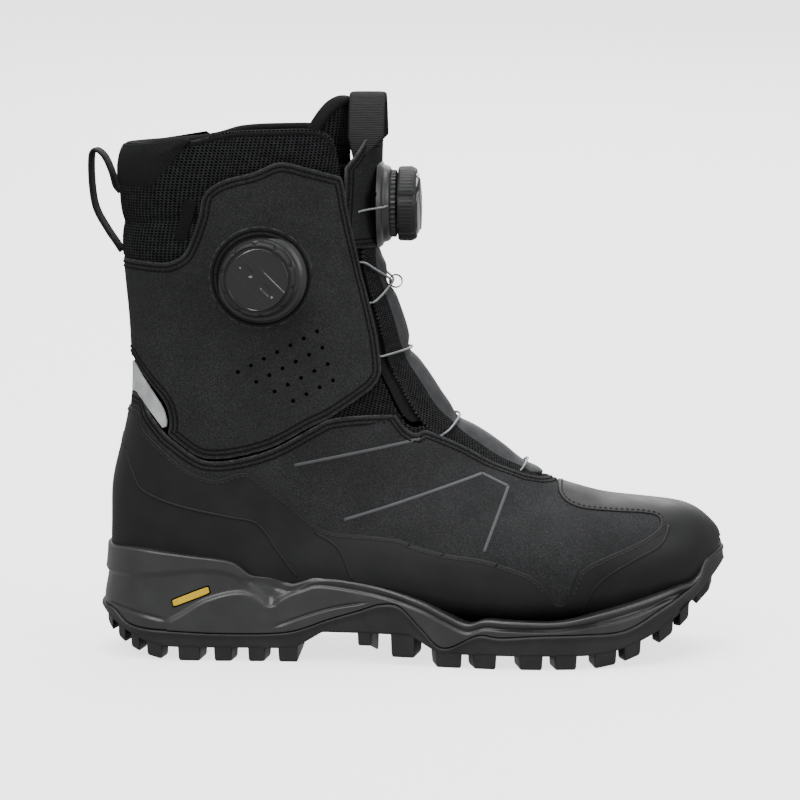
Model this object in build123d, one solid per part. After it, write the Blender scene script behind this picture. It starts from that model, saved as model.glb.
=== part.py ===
from build123d import *
import os
from math import cos, hypot, pi, sin, tan

# A right hiking boot with two dial closures, in millimetres.
# Working frame: X from the heel's back to the toe, Z up from the ground, and -Y is the outer (lateral) side.
# The finished boot is shifted at the end so that its origin is the middle of its base.

# ---- Driving dimensions ----
PANEL = 1.6  # outer leather and textile panels
GAP = 0.3  # between neighbouring layers
RAND = 1.2  # rubberised rand, outside the panels
MIDDLE = 1.0  # mesh and stiffeners, under the panels
LINING = 1.2
LEG_PAD = 4.0  # foam between the middle layer and the lining at the collar
LACE_R = 0.6
GUIDE_R = 1.5
GUIDE_BORE = 0.9
LACE_DEPTH = 4.2  # where a lace runs hidden, under a panel
LACE_HEIGHT = 1.7  # where it crosses the tongue
CUFF_THROAT = 24.5  # half the distance between the cuff's front edges
TONGUE_HALF = 21.0
STRIP_HALF = 6.0  # half the width of the tongue's leather strip
LACE_WAY = 3.2  # clear of each panel's edge, where a lace dives beside the tongue
POCKET = 6.0  # how far the inner layers stop short of the cuff's front edges
TONGUE_START = 163.5
TONGUE_END = 256.5
KNOB_TRAVEL = 2.6
FRONT_DIAL_Z = 223.9
SIDE_DIAL_X = 82.5
SIDE_DIAL_Z = 190.3
LUG_HEIGHT = 6.5
LUG_SLANT = 1.2
FAR = 400.0

# ---- The body of the boot: sections that fan round the instep ----
# front x, front z, back x, back z, lateral half width, medial half width, place of the widest point,
# roundness towards the front, roundness towards the back, sideways shift
SECTIONS = [
    (140, 285, 12.5, 285, 47, 47, 0.54, 2.0, 2.2, 0),
    (140, 262, 12.5, 262, 47, 47, 0.54, 2.0, 2.2, 0),
    (139.5, 240, 10, 238, 47, 47, 0.54, 2.0, 2.2, 0),
    (139, 218, 10.5, 216, 46, 46, 0.54, 2.0, 2.2, 0),
    (139, 197, 11.5, 193, 44.5, 44.5, 0.54, 2.0, 2.2, 0),
    (144, 180, 13.5, 170, 42.5, 42.5, 0.54, 2.0, 2.2, 0),
    (150, 163, 14.5, 146, 40.5, 40.5, 0.54, 2.0, 2.2, 0),
    (154, 150, 13.5, 124, 39, 39, 0.54, 2.0, 2.2, 0),
    (162, 138, 9, 103, 38, 38, 0.54, 2.0, 2.2, 0),
    (170, 126, 4.8, 84, 37.5, 37, 0.54, 2.0, 2.3, 0),
    (181, 115, 4.2, 64, 37.5, 36.5, 0.54, 2.0, 2.4, 0),
    (192, 107.5, 7, 38, 38, 36, 0.55, 2.0, 2.5, 0),
    (203, 100, 30, 27, 39.5, 35, 0.56, 2.0, 2.6, 0),
    (214, 94, 70, 27, 42, 35.5, 0.58, 2.0, 2.8, 0),
    (225, 88.5, 110, 27, 45, 38, 0.6, 2.0, 3.0, 0),
    (236, 84.5, 150, 23, 48, 43, 0.6, 2.0, 3.0, 0),
    (249, 80.5, 190, 18, 50, 47, 0.62, 2.1, 3.0, 0),
    (263, 78.2, 228, 18, 47, 48, 0.62, 2.2, 3.0, 0),
    (278, 77, 262, 22, 40, 40, 0.6, 2.2, 2.8, 2),
    (291, 75, 286, 29, 31, 31, 0.56, 2.2, 2.5, 5),
    (300, 69.5, 298, 35, 20.5, 20.5, 0.5, 2.1, 2.2, 6.5),
    (306, 62, 305.5, 42, 9, 9, 0.5, 2.0, 2.0, 7),
]
LEG_SECTIONS = 17  # the leg's loft and the forefoot's share the section at the end of this many
ANKLE_SECTIONS = 11
INSTEP_SECTIONS = SECTIONS[5:17]
SECTION_POINTS = 28
SMALLEST_HALF = 3.5


def leg_padding(section):
    """Foam thickness: full at the collar, fading to nothing at the instep."""
    front_z = section[1]
    return LEG_PAD * min(1.0, max(0.0, (front_z - 115) / 80))


def section_wire(section, inset):
    """One closed section, inset from the boot's outer skin."""
    front_x, front_z, back_x, back_z, lateral, medial, widest, round_f, round_b, shift = section
    length = hypot(back_x - front_x, back_z - front_z)
    ux, uz = (back_x - front_x) / length, (back_z - front_z) / length
    x0, z0 = front_x + ux * inset, front_z + uz * inset
    run = length - 2 * inset
    points = []
    for k in range(SECTION_POINTS):
        c, s = cos(2 * pi * k / SECTION_POINTS), sin(2 * pi * k / SECTION_POINTS)
        power = 2 / (round_f if c > 0 else round_b)
        along = widest * (1 - abs(c) ** power) if c > 0 else widest + (1 - widest) * abs(c) ** power
        half = abs(s) ** power * ((lateral if s > 0 else medial) - inset)
        points.append(Vector(x0 + ux * run * along, shift - half if s > 0 else shift + half, z0 + uz * run * along))
    knots = [k / SECTION_POINTS for k in range(SECTION_POINTS + 1)]
    return Wire([Edge.make_spline(points, periodic=True, parameters=knots)])


def skin(inset, padded=False):
    """The solid inside the boot's outer surface, moved inwards by inset, and by the leg's padding too if padded."""
    wires = []
    for section in SECTIONS:
        depth = inset + (leg_padding(section) if padded else 0)
        smallest = min(hypot(section[0] - section[2], section[1] - section[3]) / 2, section[4], section[5])
        if smallest - depth > SMALLEST_HALF:
            wires.append(section_wire(section, depth))
    leg = Solid.make_loft(wires[:LEG_SECTIONS])
    forefoot = Solid.make_loft(wires[LEG_SECTIONS - 1:])
    return leg.fuse(forefoot)


def leg_skin(inset, padded=False):
    """The same surface, down to the ankle only."""
    sections = SECTIONS[:ANKLE_SECTIONS]
    return Solid.make_loft([section_wire(s, inset + (leg_padding(s) if padded else 0)) for s in sections])


def instep_skin(inset):
    """The same surface, from the ankle bend to the end of the throat."""
    return Solid.make_loft([section_wire(s, inset) for s in INSTEP_SECTIONS])


def kept(shape, smallest=20):
    """A shape without the crumbs that cutting leaves."""
    return Compound(children=[s for s in shape.solids() if s.volume > smallest])


def on_skin(row, y, lift):
    """The point on the front of the boot at sideways place y, in the section whose ridge is at height row."""
    upper = max(k for k in range(len(SECTIONS) - 1) if SECTIONS[k][1] >= row)
    a, b = SECTIONS[upper], SECTIONS[upper + 1]
    t = (a[1] - row) / (a[1] - b[1])
    front_x, front_z, back_x, back_z, lateral, medial, widest, round_f, _, shift = [
        p + (q - p) * t for p, q in zip(a, b)
    ]
    half = lateral if y < shift else medial
    length = hypot(back_x - front_x, back_z - front_z)
    ux, uz = (back_x - front_x) / length, (back_z - front_z) / length
    s = min(1.0, abs(y - shift) / half)
    c = (1 - s ** round_f) ** (1 / round_f)
    along = widest * (1 - c ** (2 / round_f) if round_f != 2 else 1 - c) * length
    ny, nf = s / half, c / (widest * length)
    norm = hypot(ny, nf)
    out_f, out_y = lift * nf / norm, lift * ny / norm * (1 if y > shift else -1)
    return Vector(front_x + ux * (along - out_f), y + out_y, front_z + uz * (along - out_f))


# ---- Cutting shapes ----
def run_edges(runs):
    """Edges of a closed outline: a run of one or two points is straight, and a longer run is a smooth curve."""
    edges = []
    for run, following in zip(runs, runs[1:] + runs[:1]):
        if len(run) > 1:
            edges.append(Edge.make_spline(run) if len(run) > 2 else Edge.make_line(*run))
        if (run[-1] - following[0]).length > 1e-6:
            edges.append(Edge.make_line(run[-1], following[0]))
    return edges


def side_region(*runs, low=-FAR, high=FAR):
    """A prism across the boot from a closed outline in X and Z, between two sideways places."""
    edges = run_edges([[Vector(x, low, z) for x, z in run] for run in runs])
    return Solid.extrude(Face(Wire(edges)), Vector(0, high - low, 0))


def plan_region(*runs, low=-FAR, high=FAR):
    """A prism up from a closed outline in X and Y, between two heights."""
    edges = run_edges([[Vector(x, y, low) for x, y in run] for run in runs])
    return Solid.extrude(Face(Wire(edges)), Vector(0, 0, high - low))


def block(low, high):
    """A box between two corners."""
    size = [b - a for a, b in zip(low, high)]
    return Solid.make_box(*size, Plane(origin=low))


def throat(extra):
    """The opening down the front, in plan: extra is added to its half width."""
    sides = [(152, CUFF_THROAT + extra), (163, 20.5 + extra), (182, 16 + extra), (208, 14.5 + extra)]
    tip = [(208, 14.5 + extra), (218 + extra * 0.7, 10 + extra * 0.7), (222.5 + extra, 0)]
    upper = tip + [(x, -y) for x, y in tip[-2::-1]]
    leg = CUFF_THROAT + extra
    mirrored = [(x, -y) for x, y in sides[::-1]]
    return plan_region([(100, -leg), (100, leg)], sides, upper, mirrored, low=75)


def tube(start, end, outer, bore):
    """A straight tube between two points."""
    plane = Plane(origin=start, z_dir=end - start)
    length = (end - start).length
    bore_plane = Plane(origin=plane.from_local_coords(Vector(0, 0, -1)), z_dir=plane.z_dir)
    inner = Solid.make_cylinder(bore, length + 2, bore_plane)
    return Solid.make_cylinder(outer, length, plane) - inner


def lace(points, name):
    """A round lace along straight runs joined by tangent arcs, each as large as its runs allow."""
    radii = []
    for before, corner, after in zip(points, points[1:], points[2:]):
        turn = (corner - before).get_angle(after - corner)
        shorter = min((corner - before).length, (after - corner).length)
        radii.append(0.45 * shorter / tan(turn * pi / 360))
    path = FilletPolyline(*points, radius=radii)
    section = Plane(origin=path @ 0, z_dir=path % 0) * Circle(LACE_R)
    solid = sweep(section, path=path)
    print(name, "length", round(path.length, 1), "radii", [round(r, 1) for r in radii])
    print(name, "volume over section times length", round(solid.volume / (pi * LACE_R**2 * path.length), 4))
    return solid


parts = {}

# ---- Layers ----
outer = skin(0)
rand_outer = skin(-GAP - RAND)
rand_inner = skin(-GAP)
sole_cavity = skin(-2 * GAP - RAND)
panel_inner = skin(PANEL)
middle_outer = skin(PANEL + GAP)
middle_inner = skin(PANEL + GAP + MIDDLE)
lining_depth = PANEL + MIDDLE + 3 * GAP
foam_outer = leg_skin(lining_depth - GAP)
lining_outer = skin(lining_depth, padded=True)
foam_inner = leg_skin(lining_depth - GAP, padded=True)
lining_inner = skin(lining_depth + LINING, padded=True)
footbed_inner = skin(lining_depth + LINING + GAP + 4, padded=True)
bed_outer = skin(lining_depth + LINING + GAP, padded=True)

panel_layer = outer - panel_inner
middle_layer = middle_outer - middle_inner

cuff_throat = throat(0)
inner_throat = throat(POCKET)

# ---- Regions in the side view ----
COLLAR_LINE = [(-20, 254), (15, 254.5), (50, 257.5), (66, 260.8), (95, 262), (112, 260.5), (121, 252)]
CUFF_TOP = [(34, 197), (45, 201.4), (50, 212), (54, 227), (60, 235), (75, 240.5), (92, 246), (125, 237)]
CUFF_LOWER = [(141, 137), (116, 120.8), (88, 106.5), (69, 101.2), (56, 100.1), (47, 103), (39.5, 108.5)]
CUFF_REAR = [(35, 111), (36.4, 117.6), (33, 128), (25, 137), (14, 149), (-20, 149)]
VAMP_TOP = [
    (-20, 131), (18, 130), (26, 120.5), (39.7, 107.3), (55.6, 98.9), (68.9, 99.9), (87.6, 105.3), (115.9, 120.1),
]
RAND_REAR = [
    (-20, 122.3), (17, 122.3), (31, 105.4), (49.9, 92.2), (68.8, 92.8), (81, 90.1), (97, 78.3), (115.8, 65.2),
]
RAND_SIDE = [(115.8, 65.2), (150, 61.7), (191.5, 52.9), (216.4, 44.5), (229.2, 30.7)]
RAND_TOE = [
    (229.2, 30.7), (237.8, 47.8), (256.4, 58.7), (278.6, 68.3), (271, 74.5), (250, 77.8), (231.4, 82.3), (229, 95),
]
SOLE_TOP = [
    (-20, 53.5), (9.7, 54.7), (25.3, 54.6), (63.3, 50.5), (77, 43.1), (96.7, 39.3), (109.5, 42.9), (141.9, 38.3),
    (183.6, 22.3), (204.6, 24), (229, 23.7), (251, 27.9), (287.4, 37.2), (298.5, 40), (306, 54), (330, 55),
]
TREAD_TOP = [
    (-20, 24), (5.4, 23.9), (17, 16.5), (42, 14.7), (96, 15.3), (116, 22), (141, 29), (152, 28), (171, 12),
    (189, 15), (261, 18.3), (278, 27), (297, 38.4), (330, 58),
]
BOARD_LINE = [(-20, 33), (30, 33), (110, 34), (190, 26), (228, 26), (262, 30), (286, 37), (330, 60)]
BED_LINE = [(-20, 44), (30, 40), (110, 41), (190, 33), (228, 33), (262, 37), (286, 44), (330, 68)]
HEEL_LUGS = [
    (2.2, 6.2), (9, 13.4), (16.2, 21), (24.5, 32.5), (40.4, 51.6), (58.3, 67.4), (75.2, 83.5), (90.1, 100.1),
]
ARCH_LUGS = [(129.5, 136.5), (146, 158)]
BALL_LUGS = [
    (168.5, 181.5), (187, 198.5), (209.5, 221), (226.8, 237.7), (246, 257), (260.5, 269), (277.5, 285), (288, 293),
    (296.5, 301.5),
]
SOLE_PLAN = [
    (0, 0), (5, -22), (22, -37), (48, -41), (90, -41), (130, -44), (170, -51), (207, -56), (242, -53), (275, -39),
    (298, -17), (311, 8), (303, 30), (284, 43), (255, 52), (222, 52), (188, 45), (150, 38), (105, 37), (60, 39),
    (22, 36), (4, 20),
]


def above(line):
    return side_region(line, [(330, FAR), (-20, FAR)])


def below(line):
    return side_region(line, [(330, -FAR), (-20, -FAR)])


def collar_cut(drop):
    """Everything below the collar's top line, lowered by drop."""
    line = [(x, z - drop) for x, z in COLLAR_LINE]
    return side_region(line, [(127, 236), (330, 236)], [(330, -FAR), (-20, -FAR)])


def lateral_half():
    return block((-FAR, -FAR, -FAR), (FAR, -GAP / 2, FAR))


def medial_half():
    return block((-FAR, GAP / 2, -FAR), (FAR, FAR, FAR))


# ---- Sole ----
def tread_underside(x):
    """Height of the lugs' tips: flat under heel and ball, and rising at the heel's back, the arch and the toe."""
    if x < 40:
        return 15 * ((40 - x) / 38) ** 2
    if 100 < x < 166:
        return 9.0 if 111 < x < 138 else 4.0
    if x > 238:
        return 34 * ((x - 238) / 68) ** 2.2
    return 0.0


def tread_outline():
    """The outsole's side outline: its top line, and lugs along its underside."""
    underside = [(-20, 25)]
    for start, end in HEEL_LUGS + ARCH_LUGS + BALL_LUGS:
        base_start, base_end = (tread_underside(x) + LUG_HEIGHT for x in (start, end))
        underside.append((start - LUG_SLANT, base_start))
        underside.append((start, tread_underside(start)))
        underside.append((end, tread_underside(end)))
        underside.append((end + LUG_SLANT, base_end))
    underside.append((330, 55))
    return underside


sole_plan = plan_region(SOLE_PLAN + SOLE_PLAN[:1], low=-5, high=90)
tread_below = side_region(*[[point] for point in tread_outline()], [(330, -40)], [(-20, -40)])
heel_channel = plan_region([(12, -6), (112, -8)], [(112, 8), (12, 6)], low=-5, high=7.5)
ball_channel = plan_region([(160, -5), (230, -8)], [(230, 9), (160, 8)], low=-5, high=LUG_HEIGHT)
tread = kept((sole_plan & below(TREAD_TOP)) - tread_below, 3000)
parts["outsole"] = tread - heel_channel - ball_channel - sole_cavity

lifted_tread_top = [(x, z + GAP) for x, z in TREAD_TOP]
midsole = (sole_plan & below(SOLE_TOP) & above(lifted_tread_top)) - sole_cavity
parts["shank"] = block((46, -11, 22.4), (110, 11, 24))
parts["midsole"] = midsole - block((46 - GAP, -11 - GAP, 22.4 - GAP), (110 + GAP, 11 + GAP, 24 + GAP))

# ---- Inner sole ----
parts["insole_board"] = panel_layer & below(BOARD_LINE)
parts["footbed"] = (bed_outer - footbed_inner) & below(BED_LINE)

# ---- Outer panels ----
panel_floor = above([(x, z + GAP) for x, z in BOARD_LINE])
vamp_top = VAMP_TOP + [(141, 132), (150, 134)]
vamp_area = side_region(vamp_top, [(150, 134), (150, 200), (330, 200)], [(330, -20), (-20, -20)])
vamp = (panel_layer & panel_floor & vamp_area) - cuff_throat
parts["vamp_lateral"] = vamp & lateral_half()
parts["vamp_medial"] = vamp & medial_half()
cuff_area = side_region(
    [(-20, 197), (34, 197)], CUFF_TOP, [(125, 237), (160, 230)], [(160, 137), (141, 137)], CUFF_LOWER, CUFF_REAR,
)
cuff = (panel_layer & cuff_area) - cuff_throat
parts["cuff_lateral"] = cuff & lateral_half()
parts["cuff_medial"] = cuff & medial_half()
patch_area = side_region(
    [(-20, 132.5), (18, 131.5), (27, 122), (34, 113.2)], [(34, 120), (31, 127), (14, 146), (-20, 146)],
)
parts["heel_reflector"] = panel_layer & patch_area
back_pad_area = side_region(
    [(-20, 232.5), (15.5, 232.5), (28.9, 233.8), (39.1, 244.5), (49, 252.2)], [(49, 252.2), (15, 249), (-20, 248.7)],
)
parts["collar_back_pad"] = panel_layer & back_pad_area

# ---- Rand ----
rand_area = side_region(RAND_REAR, RAND_SIDE, RAND_TOE, [(330, 95), (330, 20)], [(140, 34), (-20, 40)])
parts["rand"] = kept((rand_outer - rand_inner) & rand_area, 500)

# ---- Middle layer: mesh and stiffeners ----
collar_top = collar_cut(4.8)
binding_area = collar_cut(0) - collar_cut(4.5)
leg_middle = middle_layer - inner_throat
mesh_area = side_region([(-20, 188), (38, 188), (64, 222), (160, 222)], [(160, 300), (-20, 300)])
parts["collar_mesh"] = leg_middle & mesh_area & collar_top
flex_area = side_region([(96, 118), (120, 106), (185, 100)], [(185, 175), (118, 175)])
flex = leg_middle & flex_area
parts["flex_mesh_lateral"] = flex & lateral_half()
parts["flex_mesh_medial"] = flex & medial_half()
counter_area = side_region([(-20, 112), (20, 112), (55, 86), (88, 52)], [(88, 36), (-20, 36)])
parts["heel_counter"] = middle_layer & counter_area
toe_puff_area = side_region([(232, 90), (246, 62), (262, 38)], [(330, 38), (330, 90)])
parts["toe_puff"] = middle_layer & toe_puff_area

# ---- Collar ----
collar_band = leg_skin(PANEL / 2) - leg_skin(lining_depth + LINING + GAP, padded=True)
collar_ring = (collar_band & binding_area) - inner_throat
parts["collar_binding"] = collar_ring & side_region([(-20, 200), (126, 200)], [(126, 300), (-20, 300)])
foam_area = side_region([(-20, 150), (60, 140), (126, 160)], [(126, 300), (-20, 300)])
parts["collar_foam"] = ((foam_outer - foam_inner) & foam_area & collar_top) - inner_throat

# ---- Lining ----
lining_shell = (lining_outer - lining_inner) & collar_top
parts["lining"] = lining_shell - inner_throat

# ---- Tongue ----
def tongue_layer(near, far, half, low, high):
    """A layer of the tongue between two depths, within a half width, between two heights."""
    bar = block((90, -half, low), (FAR, half, high))
    return (leg_skin(near) & bar) - leg_skin(far)


parts["tongue_strip"] = tongue_layer(0, 0.8, STRIP_HALF, TONGUE_START, 204)
parts["tongue_face"] = tongue_layer(1.1, 2.0, TONGUE_HALF, TONGUE_START, TONGUE_END)
parts["tongue_foam"] = tongue_layer(2.3, 5.5, TONGUE_HALF, TONGUE_START, TONGUE_END)
parts["tongue_lining"] = tongue_layer(5.8, 6.6, TONGUE_HALF, TONGUE_START, TONGUE_END)
parts["tongue_dial_panel"] = tongue_layer(0, 0.8, TONGUE_HALF, 204.5, TONGUE_END)
parts["tongue_top_pad"] = tongue_layer(15, 27, 24, TONGUE_END + 0.5, 276)

lower_cut = side_region([(100, 158), (158, 157.5), (260, 157.5)], [(260, 60), (100, 60)])
strip_bar = block((140, -STRIP_HALF, 60), (217, STRIP_HALF, 200))
instep_block = block((146, -60, 60), (260, 60, 200))
face_bar = throat(-LACE_WAY) & instep_block
foam_bar = throat(-LACE_WAY - 2) & instep_block
parts["tongue_lower_strip"] = (instep_skin(0) & lower_cut & strip_bar) - instep_skin(0.8)
parts["tongue_lower_face"] = (instep_skin(1.1) & lower_cut & face_bar) - instep_skin(2.0)
parts["tongue_lower_foam"] = (instep_skin(2.3) & lower_cut & foam_bar) - instep_skin(5.5)

gusset_reach = CUFF_THROAT + POCKET - 1
gusset_start = TONGUE_HALF - 6
gusset_bars = block((90, -gusset_reach, TONGUE_START), (FAR, -gusset_start, 236)) + block(
    (90, gusset_start, TONGUE_START), (FAR, gusset_reach, 236)
)
parts["tongue_gusset"] = (leg_skin(7.0) & gusset_bars) - leg_skin(7.5)

# ---- Dials ----
DIAL_R = 18.5
DIAL_FLOOR = 2.8
DIAL_RIM = 4.5
RATCHET_TOP = 7.9
RATCHET_R = 16.5
RATCHET_TEETH = 40
KNOB_LOW = 8.4
KNOB_HIGH = 17.2
SPOOL_Z = 4.7
DIAL_PATCH = 0.9
PATCH_R = 25


def disc(radius, low, high, bore=0.0):
    """A disc or ring on the dial's axis between two heights."""
    solid = Solid.make_cylinder(radius, high - low, Plane(origin=(0, 0, low)))
    if bore:
        solid = solid - Solid.make_cylinder(bore, high - low + 2, Plane(origin=(0, 0, low - 1)))
    return solid


def ratchet_ring():
    """The toothed ring that the knob's pawls run on."""
    corners = []
    for k in range(2 * RATCHET_TEETH):
        radius = RATCHET_R if k % 2 else RATCHET_R - 0.9
        angle = pi * k / RATCHET_TEETH
        corners.append(Vector(radius * cos(angle), radius * sin(angle), DIAL_RIM))
    face = Face(Wire.make_polygon(corners, close=True))
    return Solid.extrude(face, Vector(0, 0, RATCHET_TOP - DIAL_RIM))


def knob_grip(low, high):
    """The rubber ring round the knob, with finger notches."""
    grip = fillet(disc(DIAL_R, low, high).edges().sort_by(Axis.Z)[-1:], 1.5)
    grip = grip - disc(17, low - 1, high + 1)
    for k in range(5):
        angle = 2 * pi * k / 5 + 0.4
        notch = Plane(origin=(20.1 * cos(angle), 20.1 * sin(angle), low - 1))
        grip = grip - Solid.make_cylinder(2.4, high - low + 2, notch)
    return grip


def add_dial(side, frame, seat, pushed):
    """All pieces of one dial, on a plane whose normal is the dial's axis. pushed is how far the knob is pushed in."""
    housing = disc(DIAL_R, -9, DIAL_RIM) + ratchet_ring()
    housing = housing - disc(12, DIAL_FLOOR, RATCHET_TOP + 1)
    for turn in (0, 180):
        slot = Plane(origin=(0, 0, SPOOL_Z), z_dir=(1, 0, 0))
        housing = housing - Solid.make_cylinder(1.2, DIAL_R + 2, slot).rotate(Axis.Z, turn)
    spool = disc(11.4, 3.1, 6.3) - disc(12, 3.8, 5.6, bore=9.5) - disc(2.05, 3, 7) - disc(4.4, 4.0, 7)
    low, high = KNOB_LOW - pushed, KNOB_HIGH - pushed
    knob = disc(8, low + 1, low + 3.6) + disc(17, low + 3.6, high) - disc(4.1, low, high + 1)
    cap = fillet(disc(12.7, high, high + 3).edges().sort_by(Axis.Z)[-1:], 1.8)
    pieces = {
        "housing": (frame.location * housing) - seat,
        "post": frame.location * (disc(2, DIAL_FLOOR, 12.6) + disc(3.6, 12.4, 14)),
        "spool": frame.location * spool,
        "bush": frame.location * disc(4, 6.9 - pushed, 12.1 - pushed, bore=2.3),
        "knob": frame.location * knob,
        "grip": frame.location * knob_grip(low, high),
        "cap": frame.location * cap,
    }
    for piece, solid in pieces.items():
        parts[f"{side}_dial_{piece}"] = solid


front_frame = Plane(origin=(139.2, 0, FRONT_DIAL_Z), x_dir=(0, 1, 0), z_dir=(1, 0, 0))
side_frame = Plane(origin=(SIDE_DIAL_X, -44, SIDE_DIAL_Z), x_dir=(1, 0, 0), z_dir=(0, -1, 0))
patch_outer = leg_skin(-GAP - DIAL_PATCH)
add_dial("front", front_frame, leg_skin(-GAP), 0)
add_dial("side", side_frame, leg_skin(-2 * GAP - DIAL_PATCH), KNOB_TRAVEL)
patch_disc = side_frame.location * disc(PATCH_R, -30, 20)
parts["side_dial_patch"] = (patch_outer & patch_disc) - leg_skin(-GAP)

# ---- Laces and their guides ----
def route(*places):
    """Points on the front of the boot from places of row, sideways place and lift."""
    return [on_skin(*place) for place in places]


def under(edge, hidden, half, side):
    """Places from on top of the tongue to under the panel whose edge is half from the middle, over two rows."""
    return [
        (edge, side * (half - 3.5), LACE_HEIGHT), (edge, side * (half - 1.7), -1.6),
        (hidden, side * (half + 2.7), -LACE_DEPTH),
    ]


def upper_route(side, lift):
    """From the front dial under one cuff edge, across the tongue's ring, to the guide under the other cuff edge."""
    start = Vector(139.2 + SPOOL_Z, side * 12.8, FRONT_DIAL_Z)
    outlet = Vector(139.2 + SPOOL_Z, side * 21.5, FRONT_DIAL_Z - 0.5)
    hidden = [(222, side * 23.2, 0.2), (218, side * 26.6, -3.6), (210, side * 27.5, -4.6)]
    near = under(196.5, 199, CUFF_THROAT, side)[::-1]
    across = [
        (192.5, side * 16, LACE_HEIGHT), (188.5, side * 9, 2.0), (185, 0, lift), (182.5, -side * 9, 2.0),
        (179.5, -side * 16, LACE_HEIGHT),
    ]
    far = under(177, 174.5, CUFF_THROAT, -side) + [(168, -side * 27.4, -4.6)]
    return [start, outlet] + route(*hidden, *near, *across, *far)


def lower_route():
    """From a guide under the lateral cuff edge, three times across the tongue, to a guide under the medial vamp."""
    start = [(167.3, -27.4, -4.6), (158, -27.3, -LACE_DEPTH)]
    instep = under(152, 153.5, CUFF_THROAT, -1)[::-1] + [(152, -9, 1.8), (152, 0, 1.9), (152, 9, 1.8)]
    instep += under(152, 150, CUFF_THROAT, 1)
    medial = [(143, 28, -LACE_DEPTH), (134, 27.6, -LACE_DEPTH), (127, 27, -LACE_DEPTH)]
    middle = under(120, 122, 23.4, 1)[::-1] + [(118.6, 9, 1.8), (118, 0, 1.9), (116.5, -9, 1.8)]
    middle += under(114.3, 112.6, 19.4, -1)
    lateral = [(106, -18.8, -LACE_DEPTH), (100.5, -18.1, -LACE_DEPTH)]
    end = under(94.5, 96, 14.7, -1)[::-1] + [(95.2, -5.5, 1.8), (95.5, 0, 1.9), (95.2, 5.5, 1.8)]
    end += under(94.5, 95, 14.7, 1) + [(100.5, 18.1, -LACE_DEPTH)]
    return route(*start, *instep, *medial, *middle, *lateral, *end)


upper_routes = [upper_route(-1, 2.3), upper_route(1, 4.1)]
upper = [lace(points, "upper lace") for points in upper_routes]
parts["upper_lace"] = Compound(children=[s for solid in upper for s in solid.solids()])
lower_points = lower_route()
parts["lower_lace"] = lace(lower_points, "lower lace")


CUFF_RUNS = [0, 10]  # the lower lace's runs that a guide holds, under the cuff and under the vamp
VAMP_RUNS = [13, 22, 24, 33]


def guide(points, k):
    """A short guide tube round the middle of run k of a route, counted from its end if negative."""
    start, end = points[k], points[k + 1]
    return tube(start + (end - start) * 0.3, start + (end - start) * 0.7, GUIDE_R, GUIDE_BORE)


cuff_guides = [guide(points, k) for points in upper_routes for k in (4, -2)]
cuff_guides += [guide(lower_points, k) for k in CUFF_RUNS]
parts["cuff_lace_guides"] = Compound(children=[s for g in cuff_guides for s in g.solids()])
vamp_guides = [guide(lower_points, k) for k in VAMP_RUNS]
parts["vamp_lace_guides"] = Compound(children=[s for g in vamp_guides for s in g.solids()])
ring_centre = on_skin(185, 0, 3.7)
parts["tongue_lace_ring"] = tube(ring_centre - Vector(0, 2, 0), ring_centre + Vector(0, 2, 0), 3.4, 2.9)


# ---- Pull loops and label ----
def ribbon(points, thickness, plane_point, across):
    """A strap of even thickness that follows a smooth line, extruded across."""
    left, right = [], []
    for k, (x, z) in enumerate(points):
        before, after = points[max(k - 1, 0)], points[min(k + 1, len(points) - 1)]
        dx, dz = after[0] - before[0], after[1] - before[1]
        size = hypot(dx, dz)
        left.append(plane_point(x - dz / size * thickness / 2, z + dx / size * thickness / 2))
        right.append(plane_point(x + dz / size * thickness / 2, z - dx / size * thickness / 2))
    return Solid.extrude(Face(Wire(run_edges([left, right[::-1]]))), across)


HEEL_LOOP = [
    (9.2, 229.3), (6.6, 232.5), (4.8, 239), (1.8, 246), (-1, 249.3), (-3.8, 250.3), (-5.4, 247), (-5.3, 233.5),
    (-3.2, 221), (2.8, 210), (7, 203.8), (9.6, 199.8),
]
TONGUE_LOOP = [
    (-12.2, 256.9), (-12.6, 266), (-10.5, 273.4), (-5.5, 277.6), (0, 278.8), (5.5, 277.6), (10.5, 273.4), (12.6, 266),
    (12.2, 256.9),
]
HEEL_LOOP_CUT = 6.0
TONGUE_LOOP_CUT = 260.0
heel_strap = ribbon(HEEL_LOOP, 2.0, lambda x, z: Vector(x, -9, z), Vector(0, 18, 0))
parts["heel_pull_loop"] = heel_strap & block((-FAR, -FAR, -FAR), (HEEL_LOOP_CUT, FAR, FAR))
parts["heel_loop_tabs"] = heel_strap & block((HEEL_LOOP_CUT + GAP, -FAR, -FAR), (FAR, FAR, FAR))
tongue_strap = ribbon(TONGUE_LOOP, 1.6, lambda y, z: Vector(127.2, y, z), Vector(16.4, 0, 0))
parts["tongue_pull_loop"] = tongue_strap & block((-FAR, -FAR, TONGUE_LOOP_CUT + GAP), (FAR, FAR, FAR))
parts["tongue_loop_tabs"] = tongue_strap & block((-FAR, -FAR, -FAR), (FAR, FAR, TONGUE_LOOP_CUT))
label_area = side_region([(46.4, 229), (52.4, 227)], [(46.7, 207.4), (40.7, 209.1)])
parts["side_label"] = ((leg_skin(-0.8) & label_area) - leg_skin(-GAP)) & lateral_half()

# ---- Shift and export ----
everything = Compound(children=[s for p in parts.values() for s in p.solids()])
box = everything.bounding_box()
shift = Vector(-(box.min.X + box.max.X) / 2, -(box.min.Y + box.max.Y) / 2, -box.min.Z)
print("shift", shift)
os.makedirs("parts", exist_ok=True)
for name, part in parts.items():
    solids = kept(part, 5 if "lace" in name else 20).solids()
    print(name, len(solids), [round(s.volume, 1) for s in solids], all(s.is_valid for s in solids))
    export_step(Compound(children=[s.translate(shift) for s in solids]), f"parts/{name}.step")
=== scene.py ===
import math

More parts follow.
